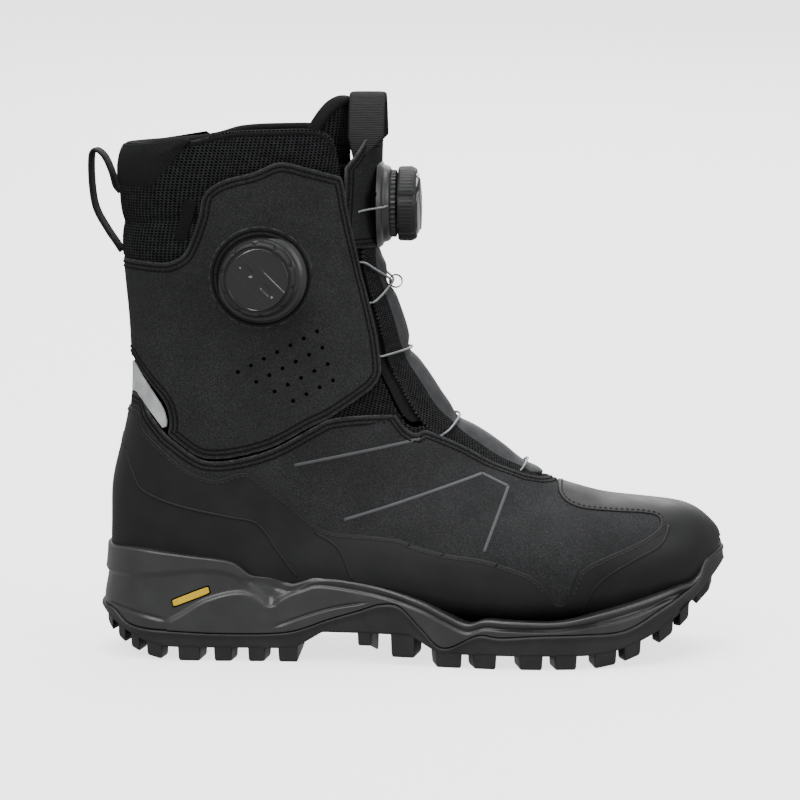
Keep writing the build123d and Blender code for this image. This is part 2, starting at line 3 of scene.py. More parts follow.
import bpy
import numpy as np
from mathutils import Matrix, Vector


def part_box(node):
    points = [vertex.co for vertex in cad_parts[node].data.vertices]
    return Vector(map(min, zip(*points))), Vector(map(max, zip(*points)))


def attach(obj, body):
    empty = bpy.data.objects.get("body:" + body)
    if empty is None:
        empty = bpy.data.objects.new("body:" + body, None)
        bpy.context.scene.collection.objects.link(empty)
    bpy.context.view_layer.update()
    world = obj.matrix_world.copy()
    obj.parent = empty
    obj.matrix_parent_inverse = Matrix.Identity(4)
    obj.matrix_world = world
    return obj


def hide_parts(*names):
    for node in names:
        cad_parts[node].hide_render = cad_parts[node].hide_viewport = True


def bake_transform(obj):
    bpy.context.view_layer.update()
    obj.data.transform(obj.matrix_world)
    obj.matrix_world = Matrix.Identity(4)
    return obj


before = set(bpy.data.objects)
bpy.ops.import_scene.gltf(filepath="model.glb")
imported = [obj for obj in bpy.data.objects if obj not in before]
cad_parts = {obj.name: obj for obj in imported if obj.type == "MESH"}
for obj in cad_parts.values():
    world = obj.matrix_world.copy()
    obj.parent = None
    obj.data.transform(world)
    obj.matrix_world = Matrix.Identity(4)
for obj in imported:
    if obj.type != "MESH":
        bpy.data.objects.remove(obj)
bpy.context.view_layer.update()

# A right hiking boot with two dial closures. Shapes are worked out in millimetres in the boot's own frame:
# X from the heel's back to the toe, Z up from the ground, -Y the outer side.
# place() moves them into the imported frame.
DIAL_CAP_TIP_X = 159.4
_cap_low, _cap_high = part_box("front_dial_cap")
OFFSET = np.array([_cap_high.x * 1000 - DIAL_CAP_TIP_X, (_cap_low.y + _cap_high.y) * 500, 0.0])


def place(points):
    """Millimetres in the boot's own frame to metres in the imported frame."""
    return (np.asarray(points, float) + OFFSET) / 1000


# ---- Camera ----
TARGET = np.array([148.3, 0.0, 125.5])
CAMERA_DISTANCE = 1700.0
CAMERA_AZIMUTH = math.radians(3.0)
CAMERA_ELEVATION = math.radians(6.9)
camera = bpy.data.objects.new("camera", bpy.data.cameras.new("camera"))
camera.data.lens = 153
camera.data.sensor_width = 36
camera_back = np.array([
    math.sin(CAMERA_AZIMUTH) * math.cos(CAMERA_ELEVATION),
    -math.cos(CAMERA_AZIMUTH) * math.cos(CAMERA_ELEVATION),
    math.sin(CAMERA_ELEVATION),
])
camera.location = place(TARGET + CAMERA_DISTANCE * camera_back)
camera.rotation_euler = (math.pi / 2 - CAMERA_ELEVATION, 0, CAMERA_AZIMUTH)
bpy.context.scene.collection.objects.link(camera)
bpy.context.scene.camera = camera

# ---- The boot's skin: sections that fan round the instep, as in the CAD model ----
# front x, front z, back x, back z, lateral half width, medial half width, place of the widest point,
# roundness towards the front, roundness towards the back, sideways shift
SECTIONS = np.array([
    (140, 285, 12.5, 285, 47, 47, 0.54, 2.0, 2.2, 0),
    (140, 262, 12.5, 262, 47, 47, 0.54, 2.0, 2.2, 0),
    (139.5, 240, 10, 238, 47, 47, 0.54, 2.0, 2.2, 0),
    (139, 218, 10.5, 216, 46, 46, 0.54, 2.0, 2.2, 0),
    (139, 197, 11.5, 193, 44.5, 44.5, 0.54, 2.0, 2.2, 0),
    (144, 180, 13.5, 170, 42.5, 42.5, 0.54, 2.0, 2.2, 0),
    (150, 163, 14.5, 146, 40.5, 40.5, 0.54, 2.0, 2.2, 0),
    (154, 150, 13.5, 124, 39, 39, 0.54, 2.0, 2.2, 0),
    (162, 138, 9, 103, 38, 38, 0.54, 2.0, 2.2, 0),
    (170, 126, 4.8, 84, 37.5, 37, 0.54, 2.0, 2.3, 0),
    (181, 115, 4.2, 64, 37.5, 36.5, 0.54, 2.0, 2.4, 0),
    (192, 107.5, 7, 38, 38, 36, 0.55, 2.0, 2.5, 0),
    (203, 100, 30, 27, 39.5, 35, 0.56, 2.0, 2.6, 0),
    (214, 94, 70, 27, 42, 35.5, 0.58, 2.0, 2.8, 0),
    (225, 86.8, 110, 27, 45, 38, 0.6, 2.0, 3.0, 0),
    (236, 82.8, 150, 23, 48, 43, 0.6, 2.0, 3.0, 0),
    (249, 79.2, 190, 18, 50, 47, 0.62, 2.1, 3.0, 0),
    (263, 77.2, 228, 18, 47, 48, 0.62, 2.2, 3.0, 0),
    (278, 75.6, 262, 22, 40, 40, 0.6, 2.2, 2.8, 2),
    (291, 73, 286, 29, 31, 31, 0.56, 2.2, 2.5, 5),
    (300, 68, 298, 35, 20.5, 20.5, 0.5, 2.1, 2.2, 6.5),
    (306, 62, 305.5, 42, 9, 9, 0.5, 2.0, 2.0, 7),
    (307.6, 58.5, 307.6, 49, 1.5, 1.5, 0.5, 2.0, 2.0, 7),
])


def spline_slopes(values):
    """Slopes of the smooth curve through evenly spaced rows."""
    n = len(values)
    matrix = np.diag(np.full(n, 4.0)) + np.diag(np.ones(n - 1), 1) + np.diag(np.ones(n - 1), -1)
    matrix[0, 0] = matrix[-1, -1] = 2.0
    right = np.zeros_like(values)
    right[1:-1] = 3 * (values[2:] - values[:-2])
    right[0] = 3 * (values[1] - values[0])
    right[-1] = 3 * (values[-1] - values[-2])
    return np.linalg.solve(matrix, right)


def spline_at(values, slopes, u):
    """The smooth curve at places u, counted in rows."""
    u = np.clip(u, 0, len(values) - 1)
    k = np.minimum(u.astype(int), len(values) - 2)
    t = (u - k)[..., None]
    a, b, da, db = values[k], values[k + 1], slopes[k], slopes[k + 1]
    ends = a * (1 + 2 * t) * (1 - t) ** 2 + b * t * t * (3 - 2 * t)
    return ends + da * t * (1 - t) ** 2 - db * t * t * (1 - t)


SECTION_SLOPES = spline_slopes(SECTIONS)


def skin(u, a):
    """Points of the boot's skin: u counts sections from collar to toe, a turns round each from its ridge."""
    s = spline_at(SECTIONS, SECTION_SLOPES, np.asarray(u, float))
    front_x, front_z, back_x, back_z, lateral, medial, widest, round_f, round_b, shift = np.moveaxis(s, -1, 0)
    c, sn = np.cos(a), np.sin(a)
    power = 2 / np.where(c > 0, round_f, round_b)
    reach = np.abs(c) ** power
    along = np.where(c > 0, widest * (1 - reach), widest + (1 - widest) * reach)
    half = np.abs(sn) ** power * np.where(sn > 0, lateral, medial)
    y = np.where(sn > 0, shift - half, shift + half)
    return np.stack([front_x + (back_x - front_x) * along, y, front_z + (back_z - front_z) * along], -1)


STEP = 1e-3


def skin_frame(u, a):
    """Points, both tangents and outward normals."""
    point = skin(u, a)
    along_u = (skin(u + STEP, a) - skin(u - STEP, a)) / (2 * STEP)
    along_a = (skin(u, a + STEP) - skin(u, a - STEP)) / (2 * STEP)
    normal = np.cross(along_a, along_u)
    normal /= np.linalg.norm(normal, axis=-1, keepdims=True) + 1e-12
    return point, along_u, along_a, normal


def unit(v):
    """Vectors scaled to length one, along the last axis."""
    v = np.asarray(v, float)
    return v / np.linalg.norm(v, axis=-1, keepdims=True)


def directions(line):
    """Unit tangents along a line of points."""
    return unit(np.gradient(line, axis=0))


def lengths_along(line):
    """How far along a line each of its points is."""
    return np.concatenate([[0], np.cumsum(np.linalg.norm(np.diff(line, axis=0), axis=1))])


# ---- Outlines and distance fields, positive inside ----
def smooth(points, closed=False, per=5):
    """A smooth curve through a few points."""
    p = np.array(points, float)
    if closed:
        p = np.vstack([p[-3:], p, p[:3]])
    chord = np.maximum(np.linalg.norm(np.diff(p, axis=0), axis=1), 1e-6) ** 0.5
    knots = np.concatenate([[0], np.cumsum(chord)])
    out = []
    first, last = (3, len(p) - 3) if closed else (0, len(p) - 1)
    for k in range(first, last):
        t = np.linspace(knots[k], knots[k + 1], per, endpoint=False)[:, None]
        slope = []
        for j in (k, k + 1):
            lo, hi = max(j - 1, 0), min(j + 1, len(p) - 1)
            slope.append((p[hi] - p[lo]) / (knots[hi] - knots[lo]))
        h = knots[k + 1] - knots[k]
        s = (t - knots[k]) / h
        out.append(
            p[k] * (1 + 2 * s) * (1 - s) ** 2 + p[k + 1] * s * s * (3 - 2 * s)
            + slope[0] * h * s * (1 - s) ** 2 - slope[1] * h * s * s * (1 - s)
        )
    if not closed:
        out.append(p[last:last + 1])
    return np.vstack(out)


def outline(*runs):
    """A closed outline: a run of three or more points is a smooth curve, a shorter one is straight."""
    return np.vstack([smooth(run) if len(run) > 2 else np.array(run, float) for run in runs])


def polygon_field(polygon, x, z):
    """Signed distance to a closed outline."""
    p = np.stack([np.ravel(x), np.ravel(z)], -1)
    best = np.full(len(p), 1e18)
    inside = np.zeros(len(p), bool)
    for a, b in zip(polygon, np.roll(polygon, -1, axis=0)):
        e = b - a
        w = p - a
        t = np.clip((w @ e) / max(e @ e, 1e-12), 0, 1)
        best = np.minimum(best, ((w - t[:, None] * e) ** 2).sum(1))
        crosses = (a[1] > p[:, 1]) != (b[1] > p[:, 1])
        if abs(e[1]) > 1e-12:
            inside ^= crosses & (p[:, 0] < a[0] + (p[:, 1] - a[1]) * e[0] / e[1])
    return (np.where(inside, 1, -1) * np.sqrt(best)).reshape(np.shape(x))


class Raster:
    """A closed outline's signed distance, kept on an even raster so that it is quick to read many times."""

    def __init__(self, polygon, low, high, cell=0.75):
        self.low, self.cell = np.array(low, float), cell
        counts = [int((h - l) / cell) + 2 for l, h in zip(low, high)]
        x, z = np.meshgrid(*(l + np.arange(n) * cell for l, n in zip(low, counts)), indexing="ij")
        self.values = polygon_field(polygon, x, z)

    def __call__(self, x, z):
        shape = np.shape(x)
        at = (np.stack([np.ravel(x), np.ravel(z)], -1) - self.low) / self.cell
        at = np.clip(at, 0, np.array(self.values.shape) - 1.001)
        k = at.astype(int)
        f = at - k
        v, i, j = self.values, k[:, 0], k[:, 1]
        low = v[i, j] * (1 - f[:, 0]) + v[i + 1, j] * f[:, 0]
        high = v[i, j + 1] * (1 - f[:, 0]) + v[i + 1, j + 1] * f[:, 0]
        return (low * (1 - f[:, 1]) + high * f[:, 1]).reshape(shape)


def side(polygon):
    """A region of the side view."""
    raster = Raster(polygon, (-14, 0), (326, 292))
    return lambda p: raster(p[..., 0], p[..., 2])


def both(*fields):
    return lambda p: np.minimum.reduce([f(p) for f in fields])


def lateral(p):
    return -p[..., 1]


THROAT_LINE = [(90, 24.5), (152, 24.5), (163, 20.5), (182, 16), (208, 14.5)]
THROAT_TIP = [(213, 13), (218, 10), (221.6, 5), (222.5, 0)]


def throat(extra):
    """Outside the opening down the front, in plan."""
    line = smooth(THROAT_LINE + THROAT_TIP)
    raster = Raster(np.vstack([[40, 24.5], line, [222.5, -200], [40, -200]]), (20, 0), (320, 60), 0.6)

    def field(p):
        outside = -raster(p[..., 0], np.abs(p[..., 1]))
        return np.where(p[..., 2] < 72, 60.0, outside - extra)

    return field


# ---- Cutting a piece out of the skin ----
CELL = 1.25


def grid_rows(cell):
    """Section places spaced so that no cell of the grid is longer than cell."""
    fine = np.linspace(0, len(SECTIONS) - 1.001, 4000)
    steps = [
        np.linalg.norm(
            np.diff(skin(fine, np.full_like(fine, a)), axis=0), axis=1,
        ) for a in (0, 1.57, 3.14159)
    ]
    walked = np.concatenate([[0], np.cumsum(np.maximum.reduce(steps))])
    return np.interp(np.linspace(0, walked[-1], int(walked[-1] / cell)), walked, fine)


class Grid:
    """The skin sampled on rows of sections, with the lengths that woven patterns follow."""

    def __init__(self, cell, first=0.0, last=22.0):
        rows = grid_rows(cell)
        self.u_line = rows[(rows >= first) & (rows <= last)]
        self.count = int(310 / cell)
        self.a_line = np.linspace(0, 2 * math.pi, self.count, endpoint=False)
        self.u, self.a = np.meshgrid(self.u_line, self.a_line, indexing="ij")
        self.point, self.along_u, self.along_a, self.normal = skin_frame(self.u, self.a)
        ring = np.linalg.norm(np.diff(self.point, axis=1, append=self.point[:, :1]), axis=2)
        around = np.cumsum(ring.mean(0)) - ring.mean(0)
        down = np.linalg.norm(np.diff(self.point, axis=0, prepend=self.point[:1]), axis=2).mean(1).cumsum()
        self.uv = np.stack(np.broadcast_arrays(around[None, :], down[:, None]), -1)


GRID = Grid(CELL)


def slope_of(field, u, a):
    """The field's value and its gradient in u and a."""
    value = field(skin(u, a))
    by_u = (field(skin(u + STEP, a)) - field(skin(u - STEP, a))) / (2 * STEP)
    by_a = (field(skin(u, a + STEP)) - field(skin(u, a - STEP))) / (2 * STEP)
    return value, by_u, by_a


def surface_gradient(u, a, by_u, by_a):
    """The field's gradient along the skin, in 3-D, and how (u, a) changes along it."""
    _, tu, ta, _ = skin_frame(u, a)
    e, f, g = (tu * tu).sum(-1), (tu * ta).sum(-1), (ta * ta).sum(-1)
    det = np.maximum(e * g - f * f, 1e-9)
    cu, ca = (g * by_u - f * by_a) / det, (e * by_a - f * by_u) / det
    return cu[..., None] * tu + ca[..., None] * ta, cu, ca


_distances = {}


def true_distance(field):
    """Distance to the field's edge measured along the skin, to first order, at every vertex of the grid."""
    if id(field) not in _distances:
        value = field(GRID.point)
        by_u = np.gradient(value, GRID.u_line, axis=0)
        by_a = (np.roll(value, -1, 1) - np.roll(value, 1, 1)) / (2 * GRID.a_line[1])
        tu, ta = GRID.along_u, GRID.along_a
        e, f, g = (tu * tu).sum(-1), (tu * ta).sum(-1), (ta * ta).sum(-1)
        square = (g * by_u**2 - 2 * f * by_u * by_a + e * by_a**2) / np.maximum(e * g - f * f, 1e-9)
        _distances[id(field)] = (value / np.clip(np.sqrt(np.maximum(square, 0)), 0.25, 1.0), field)
    return _distances[id(field)][0]


def settle(field, u, a, inset):
    """Moves places on the skin to the line at that inset from the field's edge."""
    for _ in range(5):
        value, by_u, by_a = slope_of(field, u, a)
        gradient, cu, ca = surface_gradient(u, a, by_u, by_a)
        size = np.maximum((gradient**2).sum(-1), 0.06)
        wanted = inset * np.clip(np.sqrt(size), 0.25, 1.0)
        move = (value - wanted) / size
        length = np.abs(move) * np.sqrt(size)
        reach = np.minimum(length, 1.5) / (length + 1e-9)
        u, a = np.clip(u - cu * move * reach, GRID.u_line[0], GRID.u_line[-1]), a - ca * move * reach
    return u, a


def cut(field, inset=0.0):
    """The part of the skin inside a field, its edge pulled in by inset, as arrays of the kept vertices."""
    rows, cols = GRID.u.shape
    distance = true_distance(field) - inset
    snap = np.zeros((rows, cols), bool)
    for axis in (0, 1):
        other = np.roll(distance, -1, axis)
        crossing = (distance > 0) != (other > 0)
        if axis == 0:
            crossing[-1] = False
        t = distance / (distance - other + 1e-12)
        snap |= crossing & (t < 0.5)
        snap |= np.roll(crossing & (t >= 0.5), 1, axis)
    u, a = GRID.u.ravel().copy(), GRID.a.ravel().copy()
    snap = snap.ravel()
    good = (distance.ravel() > 0) | snap
    inner = good & ~snap
    index = np.arange(rows * cols).reshape(rows, cols)
    corners = [index[:-1], np.roll(index, -1, 1)[:-1], np.roll(index, -1, 1)[1:], index[1:]]
    corners = np.stack([c.ravel() for c in corners], 1)
    ok, solid = good[corners], inner[corners].any(1)
    quads = corners[ok.all(1) & solid]
    three = corners[(ok.sum(1) == 3) & solid]
    triangles = three[good[three]].reshape(-1, 3)
    faces = [tuple(q) for q in quads.tolist()] + [tuple(t) for t in triangles.tolist()]
    border = {v for edge in rim_edges(faces) for v in edge}
    move = np.array(sorted(v for v in border if abs(distance.ravel()[v]) < 2.5 * CELL), int)
    if len(move):
        u[move], a[move] = settle(field, u[move], a[move], inset)
    used = np.unique(np.concatenate([quads.ravel(), triangles.ravel()]))
    where = np.full(rows * cols, -1)
    where[used] = np.arange(len(used))
    faces = [tuple(where[list(f)].tolist()) for f in faces]
    uu, aa = u[used], a[used]
    point, _, _, normal = skin_frame(uu, aa)
    value, by_u, by_a = slope_of(field, uu, aa)
    gradient, _, _ = surface_gradient(uu, aa, by_u, by_a)
    size = np.linalg.norm(gradient, axis=-1, keepdims=True)
    return {
        "u": uu, "a": aa, "point": point, "normal": normal, "faces": faces,
        "away": -gradient / np.maximum(size, 1e-9),
        "edge": value / np.clip(size[:, 0], 0.25, 1.0), "uv": GRID.uv.reshape(-1, 2)[used],
    }


def rim_edges(faces):
    """Edges that only one face uses, in that face's direction."""
    seen = {}
    for f in faces:
        for k in range(len(f)):
            edge = (f[k], f[(k + 1) % len(f)])
            if edge[::-1] in seen:
                del seen[edge[::-1]]
            else:
                seen[edge] = True
    return list(seen)


def loops_of(edges):
    """Rim edges chained into loops of vertices."""
    following = {}
    for a, b in edges:
        following.setdefault(a, []).append(b)
    loops = []
    while following:
        start = next(iter(following))
        loop, here = [start], following[start].pop()
        if not following[start]:
            del following[start]
        while here != start and here in following:
            loop.append(here)
            nxt = following[here].pop()
            if not following[here]:
                del following[here]
            here = nxt
        loops.append(loop)
    return loops


def make_mesh(name, points, faces, uv=None, values=None, smooth_shade=True):
    """A Blender mesh object from millimetre points, with UVs in millimetres and named point values."""
    mesh = bpy.data.meshes.new(name)
    mesh.from_pydata([tuple(p) for p in place(points)], [], faces)
    mesh.update()
    if smooth_shade:
        mesh.polygons.foreach_set("use_smooth", [True] * len(mesh.polygons))
    if uv is not None:
        layer = mesh.uv_layers.new(name="UVMap")
        corner = np.zeros(len(mesh.loops), int)
        mesh.loops.foreach_get("vertex_index", corner)
        layer.data.foreach_set("uv", np.asarray(uv, np.float32)[corner].ravel())
    for key, value in (values or {}).items():
        attribute = mesh.attributes.new(key, "FLOAT", "POINT")
        attribute.data.foreach_set("value", np.asarray(value, np.float32))
    obj = bpy.data.objects.new(name, mesh)
    bpy.context.scene.collection.objects.link(obj)
    return obj


def ring_faces(rows, columns, closed_rows, closed_columns, start=0):
    """Quads of a grid of points stored row by row."""
    faces = []
    for i in range(rows if closed_rows else rows - 1):
        for j in range(columns if closed_columns else columns - 1):
            k, l = (i + 1) % rows, (j + 1) % columns
            corners = ((i, j), (i, l), (k, l), (k, j))
            faces.append(tuple(start + row * columns + column for row, column in corners))
    return faces


# A panel's rounded edge: outward reach as a share of twice the rim, height as a share of the thickness.
# The last row goes below the panel's underside, by RIM_SINK millimetres.
RIM = [(0.28, 0.93), (0.45, 0.72), (0.5, 0.35), (0.5, -0.25)]
RIM_SINK = 0.3


def panel(name, field, lift, thickness, material, body, relief=None, nodes=(), rim=0.5):
    """A sheet of the upper cut to a field, with a rounded edge. relief adds height from the cut's arrays."""
    c = cut(field, rim)
    height = np.full(len(c["point"]), float(lift + thickness))
    if relief is not None:
        height = height + relief(c)
    points = [c["point"] + c["normal"] * height[:, None]]
    uv, edge = [c["uv"]], [c["edge"]]
    faces = list(c["faces"])
    rims = rim_edges(faces)
    border = sorted({v for e in rims for v in e})
    order = {v: k for k, v in enumerate(border)}
    total = len(c["point"])
    previous = {v: v for v in border}
    for reach, level in RIM:
        base = c["point"][border] + c["away"][border] * (reach * 2 * rim)
        sink = -RIM_SINK if level < 0 else 0
        high = (height[border] - lift) * max(level, 0) + lift + sink
        points.append(base + c["normal"][border] * high[:, None])
        uv.append(c["uv"][border])
        edge.append(np.full(len(border), rim - reach))
        now = {v: total + order[v] for v in border}
        faces += [(previous[b], previous[a], now[a], now[b]) for a, b in rims]
        previous = now
        total += len(border)
    obj = make_mesh(name, np.vstack(points), faces, np.vstack(uv), {"edge": np.concatenate(edge)})
    finish_piece(obj, body, material, nodes)
    return obj


def finish_piece(obj, body, material, nodes=()):
    """Material, body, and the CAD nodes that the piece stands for."""
    if material is not None:
        obj.data.materials.append(M[material])
    if body:
        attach(obj, body)
    if nodes:
        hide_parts(*nodes)


# ---- Materials ----
class Shader:
    """A material built node by node around one glossy shader."""

    def __init__(self, name, colour=(0.02, 0.02, 0.021), rough=0.6, **sockets):
        self.material = bpy.data.materials.new(name)
        self.material.use_nodes = True
        self.tree = self.material.node_tree
        self.bsdf = self.tree.nodes["Principled BSDF"]
        self.set("Base Color", (*colour, 1))
        self.set("Roughness", rough)
        for key, value in sockets.items():
            self.set(key.replace("_", " "), value)

    def set(self, key, value):
        self.bsdf.inputs[key].default_value = value

    def node(self, kind, inputs=None, **props):
        n = self.tree.nodes.new("ShaderNode" + kind)
        for key, value in props.items():
            setattr(n, key, value)
        for key, value in (inputs or {}).items():
            if hasattr(value, "is_output"):
                self.tree.links.new(value, n.inputs[key])
            else:
                n.inputs[key].default_value = value
        return n

    def link(self, output, key):
        self.tree.links.new(output, self.bsdf.inputs[key])

    def coords(self, kind="Object"):
        return self.node("TexCoord").outputs[kind]

    def math(self, operation, a, b=0.0):
        return self.node("Math", {0: a, 1: b}, operation=operation).outputs[0]

    def noise(self, scale, detail, rough=0.55):
        inputs = {"Vector": self.coords(), "Scale": scale, "Detail": detail, "Roughness": rough}
        return self.node("TexNoise", inputs).outputs[0]

    def ramp(self, value, low, high, first=0.0, last=1.0):
        return self.node("MapRange", {0: value, 1: low, 2: high, 3: first, 4: last}, clamp=True).outputs[0]

    def mix(self, factor, a, b):
        n = self.node("Mix", {"Factor": factor}, data_type="RGBA")
        for k, value in ((6, a), (7, b)):
            if hasattr(value, "is_output"):
                self.tree.links.new(value, n.inputs[k])
            else:
                n.inputs[k].default_value = (*value, 1)
        return n.outputs[2]

    def bump(self, height, distance, strength=1.0, after=None):
        inputs = {"Height": height, "Distance": distance, "Strength": strength}
        if after is not None:
            inputs["Normal"] = after
        return self.node("Bump", inputs).outputs[0]


STITCH_ROWS = (2.2, 4.4)


def nubuck(name, dark=(0.015, 0.0152, 0.0158), light=(0.067, 0.068, 0.0705), edge_highlight=(0.135, 0.137, 0.141)):
    """Brushed leather: a fine nap with lighter and darker grains, soft clouds, a painted highlight along the
    panel's rounded edge, and painted shade along the stitch rows.
    """
    s = Shader(name, dark, 0.86, Specular_IOR_Level=0.08)
    fine = s.noise(2600, 2, 0.6)
    grain = s.noise(900, 3, 0.65)
    cloud = s.noise(45, 4, 0.6)
    speck = s.ramp(fine, 0.36, 0.68)
    tone = s.math("MULTIPLY", speck, s.ramp(grain, 0.3, 0.7, 0.45, 1.0))
    tone = s.math("MULTIPLY", tone, s.ramp(cloud, 0.3, 0.7, 0.65, 1.1))
    colour = s.mix(tone, dark, light)
    edge = s.node("Attribute", attribute_name="edge").outputs["Fac"]
    # Painted highlight: the colour turns paler within about a millimetre of the panel's edge, broken up by
    # noise, standing for light on the rolled edge.
    edge_highlight_mask = s.math("MULTIPLY", s.ramp(edge, 0.9, 0.1), s.ramp(s.noise(300, 3), 0.35, 0.65))
    colour = s.mix(s.math("MULTIPLY", edge_highlight_mask, 0.6), colour, edge_highlight)
    # Painted shade: a near-black band along each stitch row stands for the shade in the groove the stitches
    # sink into.
    for row in STITCH_ROWS:
        off = s.math("ABSOLUTE", s.math("SUBTRACT", edge, row))
        colour = s.mix(s.ramp(off, 0.75, 0.2, 0.0, 0.8), colour, (0.002, 0.002, 0.002))
    s.link(colour, "Base Color")
    s.link(s.ramp(cloud, 0.3, 0.7, 0.92, 0.78), "Roughness")
    height = s.math("ADD", s.math("MULTIPLY", fine, 0.5), grain)
    s.link(s.bump(height, 0.00022, 0.7), "Normal")
    return s.material


def rubber(name, colour=(0.011, 0.0115, 0.0125), rough=0.5, grain=1600, bump=0.00005, scuff=0.5, shine=0.2):
    """Moulded rubber: nearly smooth, with a fine matt grain and faint scuffs."""
    s = Shader(name, colour, rough, Specular_IOR_Level=shine)
    fine = s.noise(grain, 2)
    cloud = s.noise(60, 4)
    light = tuple(c * 1.9 + 0.004 for c in colour)
    s.link(s.mix(s.math("MULTIPLY", s.ramp(cloud, 0.4, 0.75), scuff), colour, light), "Base Color")
    s.link(s.ramp(cloud, 0.3, 0.7, rough - 0.07, rough + 0.1), "Roughness")
    s.link(s.bump(fine, bump, 0.6), "Normal")
    return s.material


def knit(
    name, pitch=(1.5, 1.1), dark=(0.006, 0.006, 0.0065), light=(0.055, 0.056, 0.06), slant=0.5, specks=0.5,
    bump=0.0004,
):
    """Ladder knit: rows of short cells with lighter flecks that lean one way. UVs are in millimetres."""
    s = Shader(name, dark, 0.8, Specular_IOR_Level=0.05)
    uv = s.coords("UV")
    parts = s.node("SeparateXYZ", {0: uv}).outputs
    along = s.math("ADD", parts[0], s.math("MULTIPLY", parts[1], slant))
    row = s.math("DIVIDE", parts[1], pitch[1])
    odd = s.math("MULTIPLY", s.math("MODULO", s.math("FLOOR", row), 2.0), 0.5)
    column = s.math("ADD", s.math("DIVIDE", along, pitch[0]), odd)
    cell_v = s.math("ABSOLUTE", s.math("SUBTRACT", s.math("FRACT", row), 0.5))
    cell_u = s.math("ABSOLUTE", s.math("SUBTRACT", s.math("FRACT", column), 0.5))
    hole = s.math("MULTIPLY", s.ramp(cell_u, 0.4, 0.26), s.ramp(cell_v, 0.42, 0.3))
    cell_index = s.node("CombineXYZ", {0: s.math("FLOOR", column), 1: s.math("FLOOR", row)}).outputs[0]
    random = s.node("TexWhiteNoise", {"Vector": cell_index}, noise_dimensions="2D").outputs[0]
    yarn = s.ramp(s.noise(2600, 2), 0.3, 0.7, 0.5, 1.1)
    fleck = s.ramp(random, 0.0, 1.0, 1 - specks, 1.0)
    tone = s.math("MULTIPLY", s.math("SUBTRACT", 1.0, hole), s.math("MULTIPLY", yarn, fleck))
    s.link(s.mix(tone, dark, light), "Base Color")
    height = s.math("SUBTRACT", 1.0, hole)
    s.link(s.bump(height, bump, 0.8, s.bump(s.noise(2600, 2), 0.0001, 0.5)), "Normal")
    return s.material


def webbing(name, pitch=0.9, colour=(0.016, 0.016, 0.017), light=(0.05, 0.05, 0.052)):
    """Ribbed tape: fine ribs across its length, each of twisted yarns. UVs: across, along, in millimetres."""
    s = Shader(name, colour, 0.75, Specular_IOR_Level=0.08)
    parts = s.node("SeparateXYZ", {0: s.coords("UV")}).outputs
    rib = s.math("PINGPONG", parts[1], pitch / 2)
    rib = s.math("DIVIDE", rib, pitch / 2)
    lean = s.math(
        "FRACT", s.math("DIVIDE", s.math("ADD", parts[0], s.math("MULTIPLY", parts[1], 0.7)), 0.75),
    )
    yarn = s.math("ABSOLUTE", s.math("SUBTRACT", lean, 0.5))
    height = s.math("ADD", rib, s.math("MULTIPLY", yarn, 0.8))
    s.link(s.mix(s.ramp(height, 0.2, 1.3), colour, light), "Base Color")
    s.link(s.bump(height, 0.0003, 0.9), "Normal")
    return s.material


def leather(name, colour=(0.05, 0.05, 0.052), rough=0.5):
    """Smooth coated leather with a faint pebble grain."""
    s = Shader(name, colour, rough, Specular_IOR_Level=0.15)
    cells = s.node(
        "TexVoronoi", {"Vector": s.coords(), "Scale": 1100}, feature="DISTANCE_TO_EDGE",
    ).outputs[0]
    cloud = s.noise(120, 3)
    dark = tuple(c * 0.6 for c in colour)
    s.link(s.mix(s.ramp(cloud, 0.3, 0.7), dark, colour), "Base Color")
    s.link(s.bump(s.ramp(cells, 0.0, 0.25), 0.00012, 0.7), "Normal")
    return s.material


def fabric(name, dark=(0.008, 0.008, 0.0085), light=(0.03, 0.03, 0.032), size=0.55):
    """Plain brushed stretch fabric: tiny raised yarn loops, from the object's own coordinates."""
    s = Shader(name, dark, 0.85, Specular_IOR_Level=0.05)
    weave = s.node(
        "TexVoronoi", {"Vector": s.coords(), "Scale": 1000 / size, "Randomness": 0.45},
    ).outputs[0]
    cloud = s.noise(80, 3)
    tone = s.math("MULTIPLY", s.ramp(weave, 0.55, 0.1), s.ramp(cloud, 0.3, 0.7, 0.6, 1.0))
    s.link(s.mix(tone, dark, light), "Base Color")
    s.link(s.bump(s.ramp(weave, 0.6, 0.0), 0.00025, 0.8), "Normal")
    return s.material


def gloss(name, colour=(0.004, 0.004, 0.0045), rough=0.12, coat=0.6):
    """Glossy moulded plastic with faint sink marks and dust."""
    s = Shader(name, colour, rough)
    s.set("Coat Weight", coat)
    s.set("Coat Roughness", 0.08)
    dust = s.noise(1800, 2)
    s.link(s.mix(s.ramp(dust, 0.66, 0.78), colour, tuple(c + 0.05 for c in colour)), "Base Color")
    s.link(s.ramp(s.noise(90, 3), 0.3, 0.7, rough * 0.8, rough * 1.6), "Roughness")
    s.link(s.bump(s.noise(140, 2), 0.00003, 0.4), "Normal")
    return s.material


def metal(name, colour=(0.55, 0.56, 0.58), rough=0.3):
    """Twisted wire rope: strands that wind round, drawn from the length along the wire."""
    s = Shader(name, colour, rough, Metallic=0.9)
    parts = s.node("SeparateXYZ", {0: s.coords("UV")}).outputs
    turn = s.math(
        "FRACT", s.math("ADD", s.math("MULTIPLY", parts[1], 6.0), s.math("MULTIPLY", parts[0], 1.4)),
    )
    strand = s.math("ABSOLUTE", s.math("SUBTRACT", turn, 0.5))
    s.link(s.mix(s.ramp(strand, 0.35, 0.5), colour, (0.12, 0.12, 0.13)), "Base Color")
    s.link(s.bump(s.ramp(strand, 0.5, 0.2), 0.0001, 0.8), "Normal")
    return s.material


